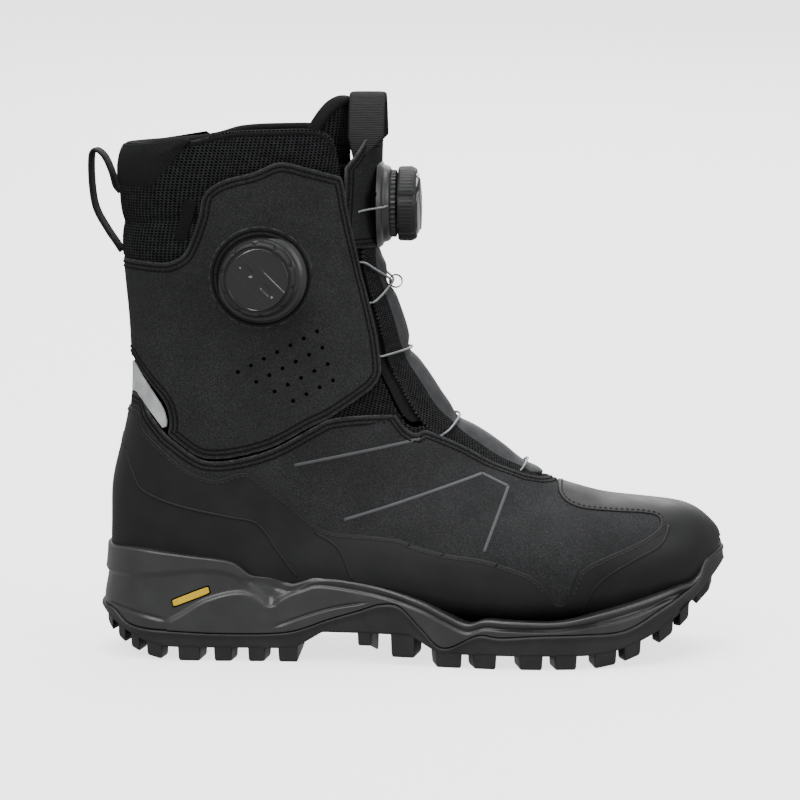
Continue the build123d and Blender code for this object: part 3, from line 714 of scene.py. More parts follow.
M = {
    "nubuck": nubuck("nubuck"),
    "dial_nubuck": nubuck("nubuck_panel", (0.011, 0.0112, 0.0117), (0.048, 0.049, 0.051)),
    "rand": rubber("rand_rubber", (0.0135, 0.0137, 0.0143), 0.5, 2200, 0.00004, 0.3, 0.25),
    "sole": rubber("outsole_rubber", (0.021, 0.0212, 0.0217), 0.42, 900, 0.00005, 0.4, 0.35),
    "midsole": rubber("midsole_foam", (0.03, 0.0303, 0.031), 0.33, 1300, 0.00003, 0.35, 0.6),
    "mesh": knit(
        "collar_knit", (2.0, 1.35), (0.002, 0.002, 0.0022), (0.046, 0.047, 0.049), 0.6, 0.5, 0.0006,
    ),
    "flex": knit(
        "flex_knit", (1.9, 1.25), (0.0025, 0.0025, 0.0027), (0.04, 0.041, 0.043), 0.25, 0.5, 0.0006,
    ),
    "tongue": knit(
        "tongue_knit", (1.6, 1.15), (0.003, 0.003, 0.0032), (0.055, 0.056, 0.058), 0.0, 0.5, 0.0005,
    ),
    "softshell": fabric("softshell", (0.013, 0.0132, 0.0138), (0.036, 0.0365, 0.0378), 0.5),
    "binding": fabric("binding_stretch", (0.009, 0.009, 0.0094), (0.03, 0.0305, 0.0315), 0.4),
    "lining": fabric("lining_knit", (0.008, 0.008, 0.0085), (0.028, 0.028, 0.029), 0.8),
    "webbing": webbing("webbing_tape", 0.9, (0.01, 0.01, 0.0105), (0.05, 0.05, 0.052)),
    "leather": leather("ridge_leather", (0.06, 0.061, 0.064), 0.45),
    "film": leather("reflective_film", (0.62, 0.63, 0.64), 0.4),
    "thread": webbing("thread", 0.5, (0.006, 0.006, 0.0065), (0.03, 0.03, 0.031)),
    "rand_thread": webbing("rand_thread", 0.5, (0.02, 0.02, 0.021), (0.09, 0.09, 0.093)),
    "wire": metal("steel_wire", (0.42, 0.43, 0.44), 0.32),
    "plastic": rubber("dial_plastic", (0.012, 0.0122, 0.013), 0.32, 1200, 0.00003, 0.3, 0.5),
    "ring": rubber("dial_ring_plastic", (0.03, 0.0305, 0.0315), 0.32, 1200, 0.00003, 0.3, 0.5),
    "grip": rubber("dial_rubber", (0.02, 0.0203, 0.0212), 0.5, 1500, 0.00004, 0.3, 0.3),
    "gloss": gloss("dial_gloss", (0.004, 0.004, 0.0042), 0.1, 1.0),
    "print": rubber("printed_line", (0.085, 0.086, 0.089), 0.45, 1500, 0.00002, 0.2, 0.2),
    "hole": fabric("hole_shadow", (0.001, 0.001, 0.001), (0.002, 0.002, 0.002), 0.5),
    "steel": rubber("shank_steel", (0.3, 0.3, 0.31), 0.4, 400, 0.00002, 0.2, 0.5),
    "stiffener": fabric("stiffener", (0.02, 0.02, 0.02), (0.04, 0.04, 0.04), 0.9),
    "badge": rubber("badge", (0.75, 0.5, 0.03), 0.5, 1500, 0.00002, 0.2, 0.2),
}

# ---- Regions of the upper, in the side view ----
CUFF_TOP = [
    (18, 197.4), (34, 196.9), (39.5, 198), (45, 201.4), (48.6, 208), (53, 220.4), (54.8, 229.3),
    (58.8, 234.3), (66.6, 238.3), (80, 241.7), (92.3, 246.4), (105.7, 243.4), (120.5, 239),
]
CUFF_FRONT = [
    (120.5, 239), (122, 236), (124.4, 221), (130, 193), (133, 181.5), (137.5, 162.7), (139.5, 149.8),
    (140, 141), (137.2, 135.8),
]
CUFF_LOWER = [
    (137.2, 135.8), (134, 132.8), (116, 120.8), (106.7, 116.5), (88, 106.5), (69, 101.2), (55.8, 100.1),
    (48.3, 102.4), (39.5, 108.5), (35.3, 111.9),
]
CUFF_REAR = [(35.3, 112), (36.4, 117.6), (34, 127), (25.7, 136.5), (16.5, 148)]
cuff_outline = outline(
    [(-30, 197.6), (18, 197.4)], CUFF_TOP, CUFF_FRONT, CUFF_LOWER, CUFF_REAR, [(-30, 150)],
)
cuff_region = side(cuff_outline)

VAMP_TOP = [
    (-30, 130.1), (18.2, 129.9), (25.6, 120.5), (34.4, 111.1), (39.7, 107.3), (48, 101.7), (55.6, 98.9),
    (68.9, 99.9), (87.6, 105.3), (106.3, 115.3), (115.9, 119.9), (134, 121.4), (150.6, 121), (156, 120.2),
    (164, 117.4),
]
vamp_outline = outline(VAMP_TOP, [(172, 124), (340, 124), (340, 10), (-30, 10)])
vamp_region = both(side(vamp_outline), throat(0))

patch_outline = outline(
    [(-30, 131.2), (18, 130.7)], [(18, 130.7), (25, 123), (34, 112.6)],
    [(34.8, 118), (31.8, 125.6), (16.6, 144.8)], [(-30, 147)],
)
RAND_TOP = [
    (-30, 121.9), (17, 122.3), (22.7, 112.8), (31.2, 105.4), (40.5, 97.8), (50, 92.2), (59.3, 89.9),
    (68.8, 92.8), (75.4, 93.8), (81, 90.1), (97, 78.3), (109.2, 68), (117, 64.7), (133, 63.4),
    (150.4, 61.7), (157.8, 58.8), (174.6, 55), (191.5, 52.9), (209, 47.8), (216.4, 44.5), (222.4, 38.5),
    (226.7, 31.6),
]
RAND_TOE = [
    (231.7, 32.6), (235.4, 40.8), (237.8, 46.6), (242.8, 50.6), (251.8, 54.6), (261.7, 58.3), (268.4, 61),
    (274.2, 63.8), (277.4, 66.4), (278, 68.8), (276.4, 70.8), (272, 72), (265, 72.8), (251.6, 73.8),
    (240.2, 75), (232.8, 77.4), (228.6, 80.8), (227.4, 84.5), (227.2, 97),
]
rand_outline = outline(RAND_TOP, [(229.2, 30.7)], RAND_TOE, [(340, 97), (340, 8), (-30, 8)])

COLLAR_LINE = [
    (-30, 254.5), (15, 254.5), (50, 256.7), (66, 260.8), (95, 262), (110, 261.7), (116.6, 258.4),
    (119.4, 252.6), (121, 244),
]
collar_outline = outline(COLLAR_LINE, [(123, 225), (123, 186), (-30, 186)])
collar_region = both(side(collar_outline), throat(1.0))
BACK_PAD = [
    (50.5, 258.2), (45.4, 252.4), (39, 244.5), (33.5, 238), (28.9, 233.8), (23.3, 232.8), (15.5, 232.5),
    (-30, 232.5),
]
back_pad_outline = outline([(-30, 253.5), (15, 253.6), (50.5, 258.2)], BACK_PAD)
flex_outline = outline([(94, 118), (128, 104), (212, 86), (235, 110), (160, 178), (110, 178)])


def stitches(
    name, field, insets, lift, body="boot", keep=None, pitch=2.7, width=0.55, material="thread",
):
    """Rows of thread along a field's edge, each row at its own inset. keep says which points carry thread."""
    shapes = []
    for inset in insets:
        c = cut(field, inset)
        for loop in loops_of(rim_edges(c["faces"])):
            closed = np.array(loop + loop[:1])
            points, normals = c["point"][closed], c["normal"][closed]
            wanted = np.ones(len(points), bool) if keep is None else keep(points)
            shapes += thread_along(points, normals, wanted, pitch, width, lift)
    return thread_object(name, shapes, body, material)


STITCH_HALF = 0.36  # half a stitch's length, as a share of the pitch
STITCH_SIDES = 6


def thread_along(points, normals, wanted, pitch, width, lift):
    """Centres, directions and normals of the stitches along a line on the skin."""
    out = []
    walked = lengths_along(points)
    for s in np.arange(pitch / 2, walked[-1] - pitch / 2, pitch):
        if np.interp(s, walked, wanted.astype(float)) < 0.99:
            continue
        reach = pitch * STITCH_HALF
        at = [
            np.array([np.interp(s + d, walked, points[:, k]) for k in range(3)])
            for d in (-reach, 0, reach)
        ]
        n = np.array([np.interp(s, walked, normals[:, k]) for k in range(3)])
        out.append((at, n / np.linalg.norm(n), width, lift))
    return out


def thread_object(name, shapes, body, material="thread"):
    """One mesh of short plump stitches that dip into the surface at both ends."""
    ends = np.array([shape[0] for shape in shapes])
    normal = np.array([shape[1] for shape in shapes])[:, None, None, :]
    width = np.array([shape[2] for shape in shapes])[:, None, None, None]
    lift = np.array([shape[3] for shape in shapes])[:, None, None, None]
    first, middle, last = (ends[:, k][:, None, None, :] for k in range(3))
    half = np.linalg.norm(last - first, axis=-1, keepdims=True) / 2
    along = (last - first) / (2 * half)
    across = np.cross(normal, along)
    stations = np.array(
        [(-1.0, 0.35, -0.35), (-0.72, 0.9, 0.1), (0.0, 1.0, 0.32), (0.72, 0.9, 0.1), (1.0, 0.35, -0.35)]
    )
    t, girth, height = (stations[:, k][None, :, None, None] for k in range(3))
    angle = (math.pi * np.arange(STITCH_SIDES) / 3)[None, None, :, None]
    chord = (first + last) / 2
    centre = chord + (middle - chord) * (1 - t * t) + along * half * t + normal * (lift + height * width)
    points = centre + (across * np.cos(angle) + normal * np.sin(angle) * 0.8) * width / 2 * girth
    uv = np.stack(np.broadcast_arrays(angle[..., 0] * 0.1, (t * half)[..., 0]), -1)
    uv = np.broadcast_to(uv, points.shape[:3] + (2,))
    one = ring_faces(5, 6, False, True) + [tuple(range(5, -1, -1)), tuple(24 + k for k in range(6))]
    faces = [tuple(30 * n + v for v in f) for n in range(len(shapes)) for f in one]
    obj = make_mesh(name, points.reshape(-1, 3), faces, uv.reshape(-1, 2))
    finish_piece(obj, body, material)
    return obj


def near(z_low, z_high=400, x_low=-50, x_high=400):
    return lambda p: (p[:, 2] > z_low) & (p[:, 2] < z_high) & (p[:, 0] > x_low) & (p[:, 0] < x_high)


# ---- The upper's panels ----
panel(
    "vamp", vamp_region, -0.7, 0.9, "nubuck", "boot", nodes=("vamp_lateral", "vamp_medial"),
    rim=0.6,
)
panel(
    "cuff", cuff_region, -0.6, 1.3, "nubuck", "boot", nodes=("cuff_lateral", "cuff_medial"),
    rim=0.7,
)
panel(
    "heel_reflective_patch", side(patch_outline), -0.6, 0.8, "film", "boot", nodes=("heel_reflector",),
)
panel(
    "rand_wrap", side(rand_outline), 0.1, 0.9, "rand", "boot", nodes=("rand",), rim=0.6,
)
panel(
    "flex_mesh", both(side(flex_outline), throat(-1)), -2.2, 0.8, "flex", "boot",
    nodes=("flex_mesh_lateral", "flex_mesh_medial"),
)

STITCH = {
    "cuff_stitches": (cuff_region, STITCH_ROWS, 0.68, near(98, 248), "thread"),
    "vamp_stitches": (vamp_region, STITCH_ROWS, 0.18, near(78, 135, 60), "thread"),
    "rand_stitches": (side(rand_outline), (1.9,), 1.0, near(36, 130), "rand_thread"),
}
for name, (field, insets, lift, keep, thread) in STITCH.items():
    stitches(name, field, insets, lift, keep=keep, width=0.75, material=thread)


# ---- Lines printed, pressed and punched on the outer side ----
def on_side(x, z, side_sign=-1):
    """Places on the skin's outer side (-1) or inner side (1) that show at x and z in the side view."""
    x, z = np.atleast_1d(np.asarray(x, float)), np.atleast_1d(np.asarray(z, float))
    usable = (GRID.point[..., 1] * side_sign > 0).ravel()
    flat = GRID.point.reshape(-1, 3)[usable]
    nearest = np.array([np.argmin((flat[:, 0] - a) ** 2 + (flat[:, 2] - b) ** 2) for a, b in zip(x, z)])
    u, a = GRID.u.ravel()[usable][nearest].copy(), GRID.a.ravel()[usable][nearest].copy()
    for _ in range(4):
        point, tu, ta, normal = skin_frame(u, a)
        dx, dz = x - point[:, 0], z - point[:, 2]
        det = tu[:, 0] * ta[:, 2] - ta[:, 0] * tu[:, 2]
        det = np.where(np.abs(det) < 1e-3, 1e-3, det)
        u = u + np.clip((dx * ta[:, 2] - ta[:, 0] * dz) / det, -0.2, 0.2)
        a = a + np.clip((tu[:, 0] * dz - dx * tu[:, 2]) / det, -0.1, 0.1)
    point, _, _, normal = skin_frame(u, a)
    return point, normal


def surface_line(line, lift, rounded_line=True, step=1.2, side_sign=-1):
    """A line given in the side view, laid on the skin and lifted off it, with its normals."""
    flat = resample(smooth(line, per=8) if rounded_line else np.array(line, float), step)
    point, normal = on_side(flat[:, 0], flat[:, 1], side_sign)
    return point + normal * lift, normal


def ribbon_on_skin(name, lines, lift, width, height, material, rounded_line=True):
    """Low flat ribs along lines of the side view."""
    ribs = []
    profile = [
        (-width / 2, -0.15), (-width / 2 * 0.8, height), (width / 2 * 0.8, height), (width / 2, -0.15),
    ]
    for line in lines:
        point, normal = surface_line(line, lift, rounded_line)
        along = directions(point)
        ribs.append(sweep(name, point, np.cross(along, normal), normal, profile, material, None))
    obj = joined(name, ribs)
    finish_piece(obj, "boot", None, ())
    return obj


PRINTED = [
    [(98.3, 97.4), (120, 101.6), (140, 105.4), (159.3, 109.1)],
    [(122.7, 70.6), (142.5, 76.6), (166, 84.2), (190.2, 92)],
    [(190.2, 92), (203.1, 85.9)],
    [(203.1, 85.9), (191.7, 56.5)],
]
PRESSED = [
    [
        (6.4, 108), (12.3, 102.5), (17, 92), (22.3, 83.1), (40, 76.5), (65.1, 71.6), (80, 68.2), (90, 55),
        (99.9, 42.5),
    ],
    [(108.4, 64.5), (119.8, 57.2), (125, 47), (127.3, 42)],
    [
        (238.2, 25.4), (242.7, 34.3), (247.1, 40.8), (253.1, 45.8), (266.1, 52.7), (276, 57.2), (280, 61.2),
        (282, 66.7),
    ],
]
HOLE_ROWS = (7, 6, 5, 4)
FIRST_HOLE = (109.5, 163.5)
HOLE_ROW_STEP = (2.5, -8.1)
HOLE_STEP = (-6.4, -3.3)
HOLE_RINGS = ((1.05, 0.66), (0.9, 0.78), (0.75, 0.74))  # radius and lift
HOLE_SIDES = 14


def punched_holes():
    """Rows of small punched holes on each side of the cuff: near-black discs, painted shade standing in for
    the open holes, with a soft raised lip.
    """
    points, faces = [], []
    for side_sign in (-1, 1):
        for row, count in enumerate(HOLE_ROWS):
            for k in range(count):
                x, z = (FIRST_HOLE[n] + HOLE_ROW_STEP[n] * row + HOLE_STEP[n] * k for n in (0, 1))
                point, normal = on_side(x, z, side_sign)
                point, normal = point[0], normal[0]
                right = np.cross(normal, [0, 0, 1.0])
                right /= np.linalg.norm(right)
                up = np.cross(right, normal)
                start = len(points)
                for radius, lift in HOLE_RINGS:
                    for angle in np.linspace(0, 2 * math.pi, HOLE_SIDES, endpoint=False):
                        outward = right * math.cos(angle) + up * math.sin(angle)
                        points.append(point + normal * lift + outward * radius)
                faces += [f[::-1] for f in ring_faces(len(HOLE_RINGS), HOLE_SIDES, False, True, start)]
                faces.append(tuple(len(points) - HOLE_SIDES + j for j in range(HOLE_SIDES)))
    obj = make_mesh("cuff_punched_holes", np.array(points), faces, np.array(points)[:, [0, 2]])
    finish_piece(obj, "boot", "hole", ())


# ---- Collar: padded mesh, back pad, rolled binding and lining ----
def collar_bulge(c):
    """The mesh swells between its seams: a quilting seam low at the back, and the edges."""
    x, z = c["point"][:, 0], c["point"][:, 2]
    seam = np.abs(z - (216 + 0.1 * (x - 20)))
    seam = np.where(x < 60, seam, 30)
    pad = 1 - np.exp(-np.minimum(seam, np.clip(c["edge"], 0, None)) / 4.5)
    below_cuff = np.clip((polygon_field(cuff_outline, x, z) + 2) / 4, 0, 1)
    return 1.9 * pad * (1 - below_cuff)


collar_mesh = panel(
    "collar_mesh_pad", collar_region, -1.6, 0.7, "mesh", "boot", relief=collar_bulge,
    nodes=("collar_mesh", "collar_foam"),
)


def back_bulge(c):
    return 2.2 * (1 - np.exp(-np.clip(c["edge"], 0, None) / 3.5))


back_pad = panel(
    "collar_back_pad_shell", side(back_pad_outline), -0.6, 1.2, "softshell", "boot", relief=back_bulge,
    nodes=("collar_back_pad",), rim=0.8,
)
stitches(
    "back_pad_stitches", side(back_pad_outline), (1.6,), 0.9, keep=near(225, 252),
)


def resample(points, step, closed=False):
    """Even steps along a line of points."""
    p = np.vstack([points, points[:1]]) if closed else np.asarray(points)
    walked = lengths_along(p)
    count = max(int(round(walked[-1] / step)), 2)
    at = np.linspace(0, walked[-1], count if closed else count + 1, endpoint=not closed)
    return np.stack([np.interp(at, walked, p[:, k]) for k in range(p.shape[1])], 1)


def relax(points, times):
    """An open line with its small kinks smoothed out."""
    p = points.copy()
    for _ in range(times):
        p[1:-1] = 0.25 * p[:-2] + 0.5 * p[1:-1] + 0.25 * p[2:]
    return p


def sweep(
    name, line, side_axis, up_axis, profile, material, body, nodes=(), caps=True, flip=False,
):
    """A profile of (sideways, up) places carried along a line, with both directions given at each point."""
    if np.ndim(profile) == 2:
        profile = [profile] * len(line)
    n, m = len(line), len(profile[0])
    points = np.concatenate([
        [line[k] + side_axis[k] * a + up_axis[k] * b for a, b in profile[k]] for k in range(n)
    ])
    walked = lengths_along(line)
    around = lengths_along(np.array(profile[0]))
    uv = [(around[j], walked[i]) for i in range(n) for j in range(m)]
    faces = ring_faces(n, m, False, True)
    if caps:
        faces += [tuple(range(m - 1, -1, -1)), tuple((n - 1) * m + j for j in range(m))]
    if flip:
        faces = [f[::-1] for f in faces]
    obj = make_mesh(name, points, faces, uv)
    finish_piece(obj, body, material, nodes)
    return obj


def oval(a, b, count=20, power=2.0):
    """A closed rounded profile."""
    angle = np.linspace(0, 2 * math.pi, count, endpoint=False)
    c, s = np.cos(angle), np.sin(angle)
    return np.stack(
        [a * np.sign(c) * np.abs(c) ** (2 / power), b * np.sign(s) * np.abs(s) ** (2 / power)], 1,
    )


def collar_edge():
    """The collar's top line from one front corner round the back to the other, with its two directions."""
    c = cut(side(collar_outline), 0.0)
    loop = max(loops_of(rim_edges(c["faces"])), key=lambda l: c["point"][l][:, 2].mean())
    points, normals = c["point"][loop], c["normal"][loop]
    turn = int(np.argmax(points[:, 0]))
    order = np.roll(np.arange(len(points)), -turn)
    both_sides = np.hstack([points, normals])[order]
    both_sides = both_sides[(both_sides[:, 0] < 120.5) & (both_sides[:, 2] > 236)]
    both_sides = relax(resample(both_sides, 2.0), 6)
    return both_sides[:, :3], both_sides[:, 3:] / np.linalg.norm(both_sides[:, 3:], axis=1, keepdims=True)


edge_line, edge_out = collar_edge()
edge_along = directions(edge_line)
edge_up = np.cross(edge_along, edge_out)
edge_up *= np.sign(edge_up[:, 2:3])
roll = []
for k in range(len(edge_line)):
    fade = min(1.0, min(k, len(edge_line) - 1 - k) / 3)
    roll.append(
        oval(4.4 * (0.75 + 0.25 * fade), 2.3 * (0.8 + 0.2 * fade), 22, 2.3) + np.array([-4.2, -2.1])
    )
binding = sweep(
    "collar_rolled_binding", edge_line, edge_out, edge_up, np.array(roll), "binding", "boot",
    nodes=("collar_binding",), flip=True,
)


def leg_padding(u):
    """Foam thickness: full at the collar, fading to nothing at the instep."""
    front_z = spline_at(SECTIONS, SECTION_SLOPES, u)[:, 1]
    return 4 * np.clip((front_z - 115) / 80, 0, 1)


def inside_sheet(name, field, depth, material, body, nodes):
    """The side of the lining that faces the foot."""
    c = cut(field, 0.0)
    points = c["point"] - c["normal"] * (depth + leg_padding(c["u"]))[:, None]
    obj = make_mesh(name, points, [f[::-1] for f in c["faces"]], c["uv"])
    finish_piece(obj, body, material, nodes)
    return obj


lining_outline = outline(COLLAR_LINE, [(123, 225), (170, 100), (330, 60), (330, 30), (-30, 30)])
inside_sheet(
    "lining_sock", both(side([(x, z - 3) for x, z in lining_outline]), throat(4)), 4.7, "lining", "boot",
    ("lining",)
)


# ---- Tongue ----
def strip_region(half_width, low, high):
    """The front of the boot within a half width, between two heights."""
    def field(p):
        inside = np.minimum(half_width - np.abs(p[..., 1]), np.minimum(p[..., 2] - low, high - p[..., 2]))
        return np.minimum(inside, p[..., 0] - 100)
    return field


tongue_field = both(strip_region(19.5, 80, 240), lambda p: -throat(3.0)(p))
seam_field = both(strip_region(27, 80, 240), lambda p: -throat(-2.0)(p))
seam_cover = panel("tongue_side_gusset", seam_field, -4.0, 0.7, "softshell", None, rim=0.6)
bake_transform(seam_cover)


def tongue_relief(c):
    """Padding either side of the ridge, and a seam near each edge."""
    y = np.abs(c["point"][:, 1])
    return 1.2 * np.exp(-((y - 12) / 6) ** 2) - 0.7 * np.exp(-((y - 17.5) / 0.8) ** 2)


tongue_mesh = panel("tongue_mesh", tongue_field, -2.4, 0.9, "tongue", None, relief=tongue_relief, rim=0.6)
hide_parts("tongue_face", "tongue_foam", "tongue_lower_face", "tongue_lower_foam")
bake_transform(tongue_mesh)


WIRE_ROWS = (185, 152, 118, 95.5)
RIDGE_HALF = 10.5


def ridge_relief(c):
    """A soft bulge between the wires, pinched flat where each wire crosses."""
    y = np.abs(c["point"][:, 1])
    row = spline_at(SECTIONS, SECTION_SLOPES, c["u"])[:, 1]
    pinch = np.ones(len(row))
    for wire in WIRE_ROWS:
        pinch *= 1 - 0.85 * np.exp(-(((row - wire) / 4.0) ** 2))
    fade = np.clip((202 - row) / 8, 0, 1) * np.clip((row - 88) / 5, 0, 1)
    return 2.7 * (1 - (np.clip(y, 0, RIDGE_HALF) / RIDGE_HALF) ** 2) ** 0.7 * (0.1 + 0.9 * pinch * fade)


ridge = panel(
    "tongue_ridge", both(strip_region(RIDGE_HALF, 86, 204), lambda p: -throat(-2.5)(p)), -1.6, 0.8,
    "leather", None, relief=ridge_relief, rim=0.5,
)
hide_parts("tongue_strip", "tongue_lower_strip")
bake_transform(ridge)
inside_sheet(
    "tongue_lining_face",
    both(strip_region(21, 150, 256), side(outline([(100, 150), (100, 260), (200, 260), (200, 150)]))), 2.6,
    "lining", "tongue", ("tongue_lining",),
)
def dial_panel_field(p):
    """The nubuck shield under the front dial: wide low down, under the collar's edges, narrower above."""
    half = 30 - 10 * np.clip((p[..., 2] - 243) / 14, 0, 1)
    inside = np.minimum(half - np.abs(p[..., 1]), np.minimum(p[..., 2] - 203, 257 - p[..., 2]))
    return np.minimum(inside, p[..., 0] - 100)


panel(
    "tongue_dial_shield", dial_panel_field, -0.9, 1.0, "dial_nubuck", "tongue",
    nodes=("tongue_dial_panel",), rim=0.5,
)
stitches("tongue_shield_stitches", dial_panel_field, (2.0,), 0.12, body="tongue")


def gusset_region(p):
    y = np.abs(p[..., 1])
    return np.minimum(
        np.minimum(y - 13, 33 - y), np.minimum(np.minimum(p[..., 2] - 150, 244 - p[..., 2]), p[..., 0] - 95),
    )


gusset = panel("tongue_gusset_fold", gusset_region, -6.0, 0.5, "binding", None)
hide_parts("tongue_gusset")
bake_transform(gusset)


TOP_HALF = 24.0
TOP_Z = 274.8


def top_height(y):
    """Height of the tongue's top edge, falling away towards its corners."""
    return TOP_Z - 15 * (np.clip(np.abs(y) - 9, 0, None) / (TOP_HALF - 9)) ** 2.2


def top_place(y, z, depth):
    """A point of the tongue's top, which curves back at its sides; depth is measured towards the leg."""
    back = np.hypot(1.0, 0.056 * y)
    return np.stack(
        np.broadcast_arrays(124.7 - 0.028 * y * y - depth / back, y - depth * 0.056 * y / back, z), -1,
    )


def tongue_top():
    """The padded top of the tongue: a curved mesh cushion with a thick rolled edge, behind the shield."""
    columns, rows = 57, 21
    y = TOP_HALF * np.linspace(-1, 1, columns)[None, :]
    t = np.linspace(0, 1, rows)[:, None]
    z = 236 + (top_height(y) - 236) * t
    margin = np.minimum((TOP_HALF - np.abs(y)) / 5.0, (1 - t) * 7.0)
    puff = 3.0 * (1 - np.clip(1 - margin, 0, 1) ** 2) ** 0.5
    points = np.concatenate([
        top_place(y, z, 4.0 - puff).reshape(-1, 3), top_place(y, z, 4.2 + puff * 1.3).reshape(-1, 3),
    ])
    uv = np.tile(np.stack(np.broadcast_arrays(y, z), -1).reshape(-1, 2), (2, 1))
    faces = ring_faces(rows, columns, False, False) + [
        f[::-1] for f in ring_faces(rows, columns, False, False, rows * columns)
    ]
    border = list(range(columns)) + [i * columns + columns - 1 for i in range(1, rows)]
    border += [
        (rows - 1) * columns + j for j in range(columns - 2, -1, -1)
    ] + [i * columns for i in range(rows - 2, 0, -1)]
    faces += [
        (b, a, a + rows * columns, b + rows * columns) for a, b in zip(border, border[1:] + border[:1])
    ]
    obj = make_mesh("tongue_top_cushion", points, faces, uv)
    finish_piece(obj, "tongue", "mesh", ("tongue_top_pad",))
    rise = [(-TOP_HALF, z) for z in np.linspace(238, float(top_height(TOP_HALF)) - 3, 12)]
    over = [(y, float(top_height(y))) for y in np.linspace(-TOP_HALF, TOP_HALF, 61)]
    edge = np.array(rise + over + [(-y, z) for y, z in rise[::-1]])
    line = relax(resample(top_place(edge[:, 0], edge[:, 1], 4.0), 1.6), 10)
    along = directions(line)
    front = unit(np.column_stack([np.ones(len(line)), 0.056 * line[:, 1], np.zeros(len(line))]))
    up = unit(np.cross(along, front))
    roll = sweep(
        "tongue_top_binding", line, front, up, oval(4.3, 2.6, 18, 2.2), "binding", "tongue",
    )


tongue_top()


# ---- Sole ----
SOLE_PLAN = [
    (0, 0), (5, -22), (22, -37), (48, -41), (90, -41), (130, -44), (170, -51), (207, -56), (242, -53),
    (275, -39), (298, -17), (311, 8), (303, 30), (284, 43), (255, 52), (222, 52), (188, 45), (150, 38),
    (105, 37), (60, 39), (22, 36), (4, 20),
]
SOLE_TOP = [
    (-20, 53.5), (3.3, 54), (13, 55), (25.3, 54.6), (47.5, 52.3), (63.3, 50.5), (69.7, 48.5), (77, 43.1),
    (85.9, 41.7), (96.7, 39.3), (101.6, 40.4), (109.5, 42.9), (123.7, 41.6), (141.9, 38.3), (160.5, 32.5),
    (172.8, 26.6), (183.6, 22.3), (192.4, 24.5), (204.6, 24), (229, 23.7), (251, 27.9), (268, 32),
    (287.4, 37.2), (298.5, 40), (306, 54), (330, 55),
]
TREAD_TOP = [
    (-20, 24), (5.4, 23.9), (16.8, 16.5), (41.6, 14.7), (71.3, 14), (96, 15.3), (116, 22), (130.7, 26.6),
    (141, 30), (150.4, 29.3), (161, 19), (172, 9.5), (189, 16.5), (199.8, 15.7), (219.4, 16.9),
    (240, 17.2), (260.8, 18.3), (277.7, 26.9), (297, 38.4), (304, 50), (330, 57),
]
LUG_HEIGHT = 6.5
plan_line = resample(smooth(SOLE_PLAN, closed=True, per=12), 1.5, closed=True)
plan_along = unit(np.roll(plan_line, -1, 0) - np.roll(plan_line, 1, 0))
plan_out = np.stack([plan_along[:, 1], -plan_along[:, 0]], 1)
if ((plan_line - plan_line.mean(0)) * plan_out).sum(1).mean() < 0:
    plan_out = -plan_out
plan_walk = np.arange(len(plan_line)) * 1.5


def height_on(line, x):
    curve = smooth(line, per=12)
    return np.interp(x, curve[:, 0], curve[:, 1])


def underside(x):
    """Height of the lugs' tips: flat under heel and ball, rising at the heel's back, the arch and the toe."""
    x = np.asarray(x, float)
    z = 15 * (np.clip(40 - x, 0, None) / 38) ** 2
    z = np.where((x > 100) & (x < 166), np.where((x > 111) & (x < 138), 9.0, 4.0), z)
    return np.where(x > 238, 34 * (np.clip(x - 238, 0, None) / 68) ** 2.2, z)


def tread_base(x):
    """The face that the lugs stand on."""
    x = np.asarray(x, float)
    z = 15 * (np.clip(40 - x, 0, None) / 38) ** 2 + LUG_HEIGHT
    arch = np.clip(np.minimum(x - 98, 170 - x) / 14, 0, 1)
    z = z + arch * 8.5
    return np.where(x > 238, 34 * (np.clip(x - 238, 0, None) / 68) ** 2.2 + LUG_HEIGHT, z)


def line_distance(line, x, z):
    """Distance in the side view to an open smooth line, and the nearest place along it, from 0 to 1."""
    p = smooth(line, per=6) if len(line) > 2 else np.array(line, float)
    best, where = np.full(np.shape(x), 1e9), np.zeros(np.shape(x))
    for k, (a, b) in enumerate(zip(p, p[1:])):
        e = b - a
        t = np.clip(((x - a[0]) * e[0] + (z - a[1]) * e[1]) / (e @ e), 0, 1)
        d = np.hypot(x - a[0] - t * e[0], z - a[1] - t * e[1])
        where = np.where(d < best, (k + t) / (len(p) - 1), where)
        best = np.minimum(best, d)
    return best, where


def crease(x, z, line, width, depth):
    """A groove that dies out at its ends."""
    d, t = line_distance(line, x, z)
    fade = np.clip(np.minimum(t, 1 - t) / 0.12, 0, 1)
    return -depth * fade * np.exp(-((d / width) ** 2))


FLANGE = outline(
    [
        (-10, 40.8), (2.4, 40.3), (27.3, 41.8), (48.7, 44.3), (65.1, 43.3), (76, 37.5),
    ], [(82, 48), (82, 70), (-10, 70)],
)
LOWER_BODY = outline(
    [(35.2, 10), (35.2, 19.4)],
    [
        (35.2, 19.4), (42.2, 23.4), (53.6, 30.3), (67.1, 34.3), (77, 33.8), (86, 27.9), (91.9, 31.8),
        (106.9, 40.3),
    ],
    [(170, 48), (170, 10)],
)
RECESS = outline([(71, 41.5), (80, 42), (97, 41), (91, 34), (86.5, 29.8), (80, 34.5), (71, 41.5)])


def ease(t):
    """0 to 1 with soft ends."""
    t = np.clip(t, 0, 1)
    return t * t * (3 - 2 * t)


